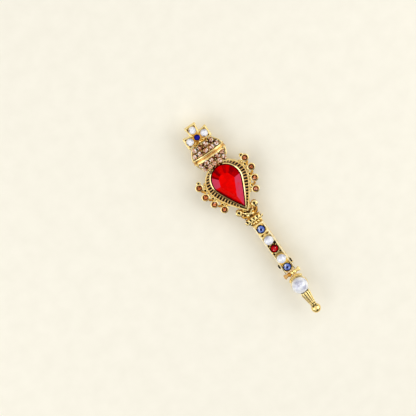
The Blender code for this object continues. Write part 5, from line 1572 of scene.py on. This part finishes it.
# %% [markdown]
# ## The back: bar, hinge, pin and catch
# The pin's wire turns on a rivet between two ears, and its point lies in a C that a small turning
# collar closes. The bar, the ears, the C and the collar keep their CAD shape with rounded edges;
# the wire and the rivet are turned again, with more steps.

# %% Bar and brackets
for node, name, edge in (
    ("back_bar", "back_bar_cast", 0.12), ("hinge_bracket", "hinge_bracket_bent", 0.06),
    ("catch_bracket", "catch_bracket_bent", 0.05),
):
    piece = bmesh.new()
    join(piece, cad_copy(node, edge))
    add_piece(piece, name, [GOLD], "gold_plate", node)
piece = bmesh.new()
join(piece, cad_copy("catch_rotor", 0.04))
add_piece(piece, "catch_rotor_turned", [GOLD], "gold_plate", "catch_rotor", body="rotor")

# %% Rivet and pin stem
low, high = span("hinge_rivet")
rivet_middle = middle("hinge_rivet")
RIVET = 0.40
head = high.z - rivet_middle.z
profile = [(0, high.x), (0.35 * head, high.x - 0.01), (0.70 * head, high.x - 0.07), (0.92 * head, high.x - 0.16)]
profile += [(head, high.x - 0.25), (RIVET, high.x - 0.25)]
profile += [(r, -x) for r, x in reversed(profile)]
rivet = bmesh.new()
join(rivet, turned(profile, 32), at(rivet_middle, ACROSS_PIN))
add_piece(rivet, "hinge_rivet_headed", [STEEL], "gilt_steel", "hinge_rivet")

low, high = span("pin_stem")
STEM, POINT, EYE_HOLE = 0.45, 3.2, 0.50
eye_radius = (high.z - low.z) / 2
hinge_y, stem_z = high.y - eye_radius, (low.z + high.z) / 2
length = hinge_y - low.y
wire_start = 0.8
profile = [(0, -wire_start), (0.9 * STEM, -wire_start), (STEM, -2.2), (STEM, POINT - length), (0.86 * STEM, 0.72 * POINT - length)]
profile += [(0.56 * STEM, 0.36 * POINT - length), (0.24 * STEM, 0.1 * POINT - length), (0.1 * STEM, 0.02 * POINT - length), (0, -length)]
stem = bmesh.new()
join(stem, turned(profile, 24), at((0, hinge_y, stem_z), ALONG_PIN))
half = high.x
eye = [
    (EYE_HOLE, 0.8 * half), (EYE_HOLE + 0.08, half), (eye_radius - 0.14, half), (eye_radius, 0.7 * half),
    (eye_radius, -0.7 * half), (eye_radius - 0.14, -half), (EYE_HOLE + 0.08, -half), (EYE_HOLE, -0.8 * half),
    (EYE_HOLE, 0.8 * half),
]
join(stem, turned(eye, 40), at((0, hinge_y, stem_z), ACROSS_PIN))
add_piece(stem, "pin_stem_drawn", [STEEL], "gilt_steel", "pin_stem", body="pin")

# %% [markdown]
# ## The floor
# A pale cream sheet under the pin catches its soft shadow and fills the underside of the gold with
# warm light. It is stage, not part of the object.

# %% Floor
FLOOR_SIZE = 1.5
floor_mesh = bmesh.new()
bmesh.ops.create_grid(floor_mesh, x_segments=1, y_segments=1, size=FLOOR_SIZE)
mesh = bpy.data.meshes.new("floor")
floor_mesh.to_mesh(mesh)
floor_mesh.free()
floor = bpy.data.objects.new("floor", mesh)
bpy.context.scene.collection.objects.link(floor)
paper, tree, shader = new_finish("paper_cream")
fibres = ramp(tree, noise(tree, 6.0), [(0.3, (0.92, 0.89, 0.78)), (0.7, (0.95, 0.92, 0.81))])
tree.links.new(fibres, shader.inputs["Base Color"])
shader.inputs["Roughness"].default_value = 0.9
shader.inputs["Specular IOR Level"].default_value = 0.1
mesh.materials.append(paper)
print("floor:", 2 * FLOOR_SIZE, "m")
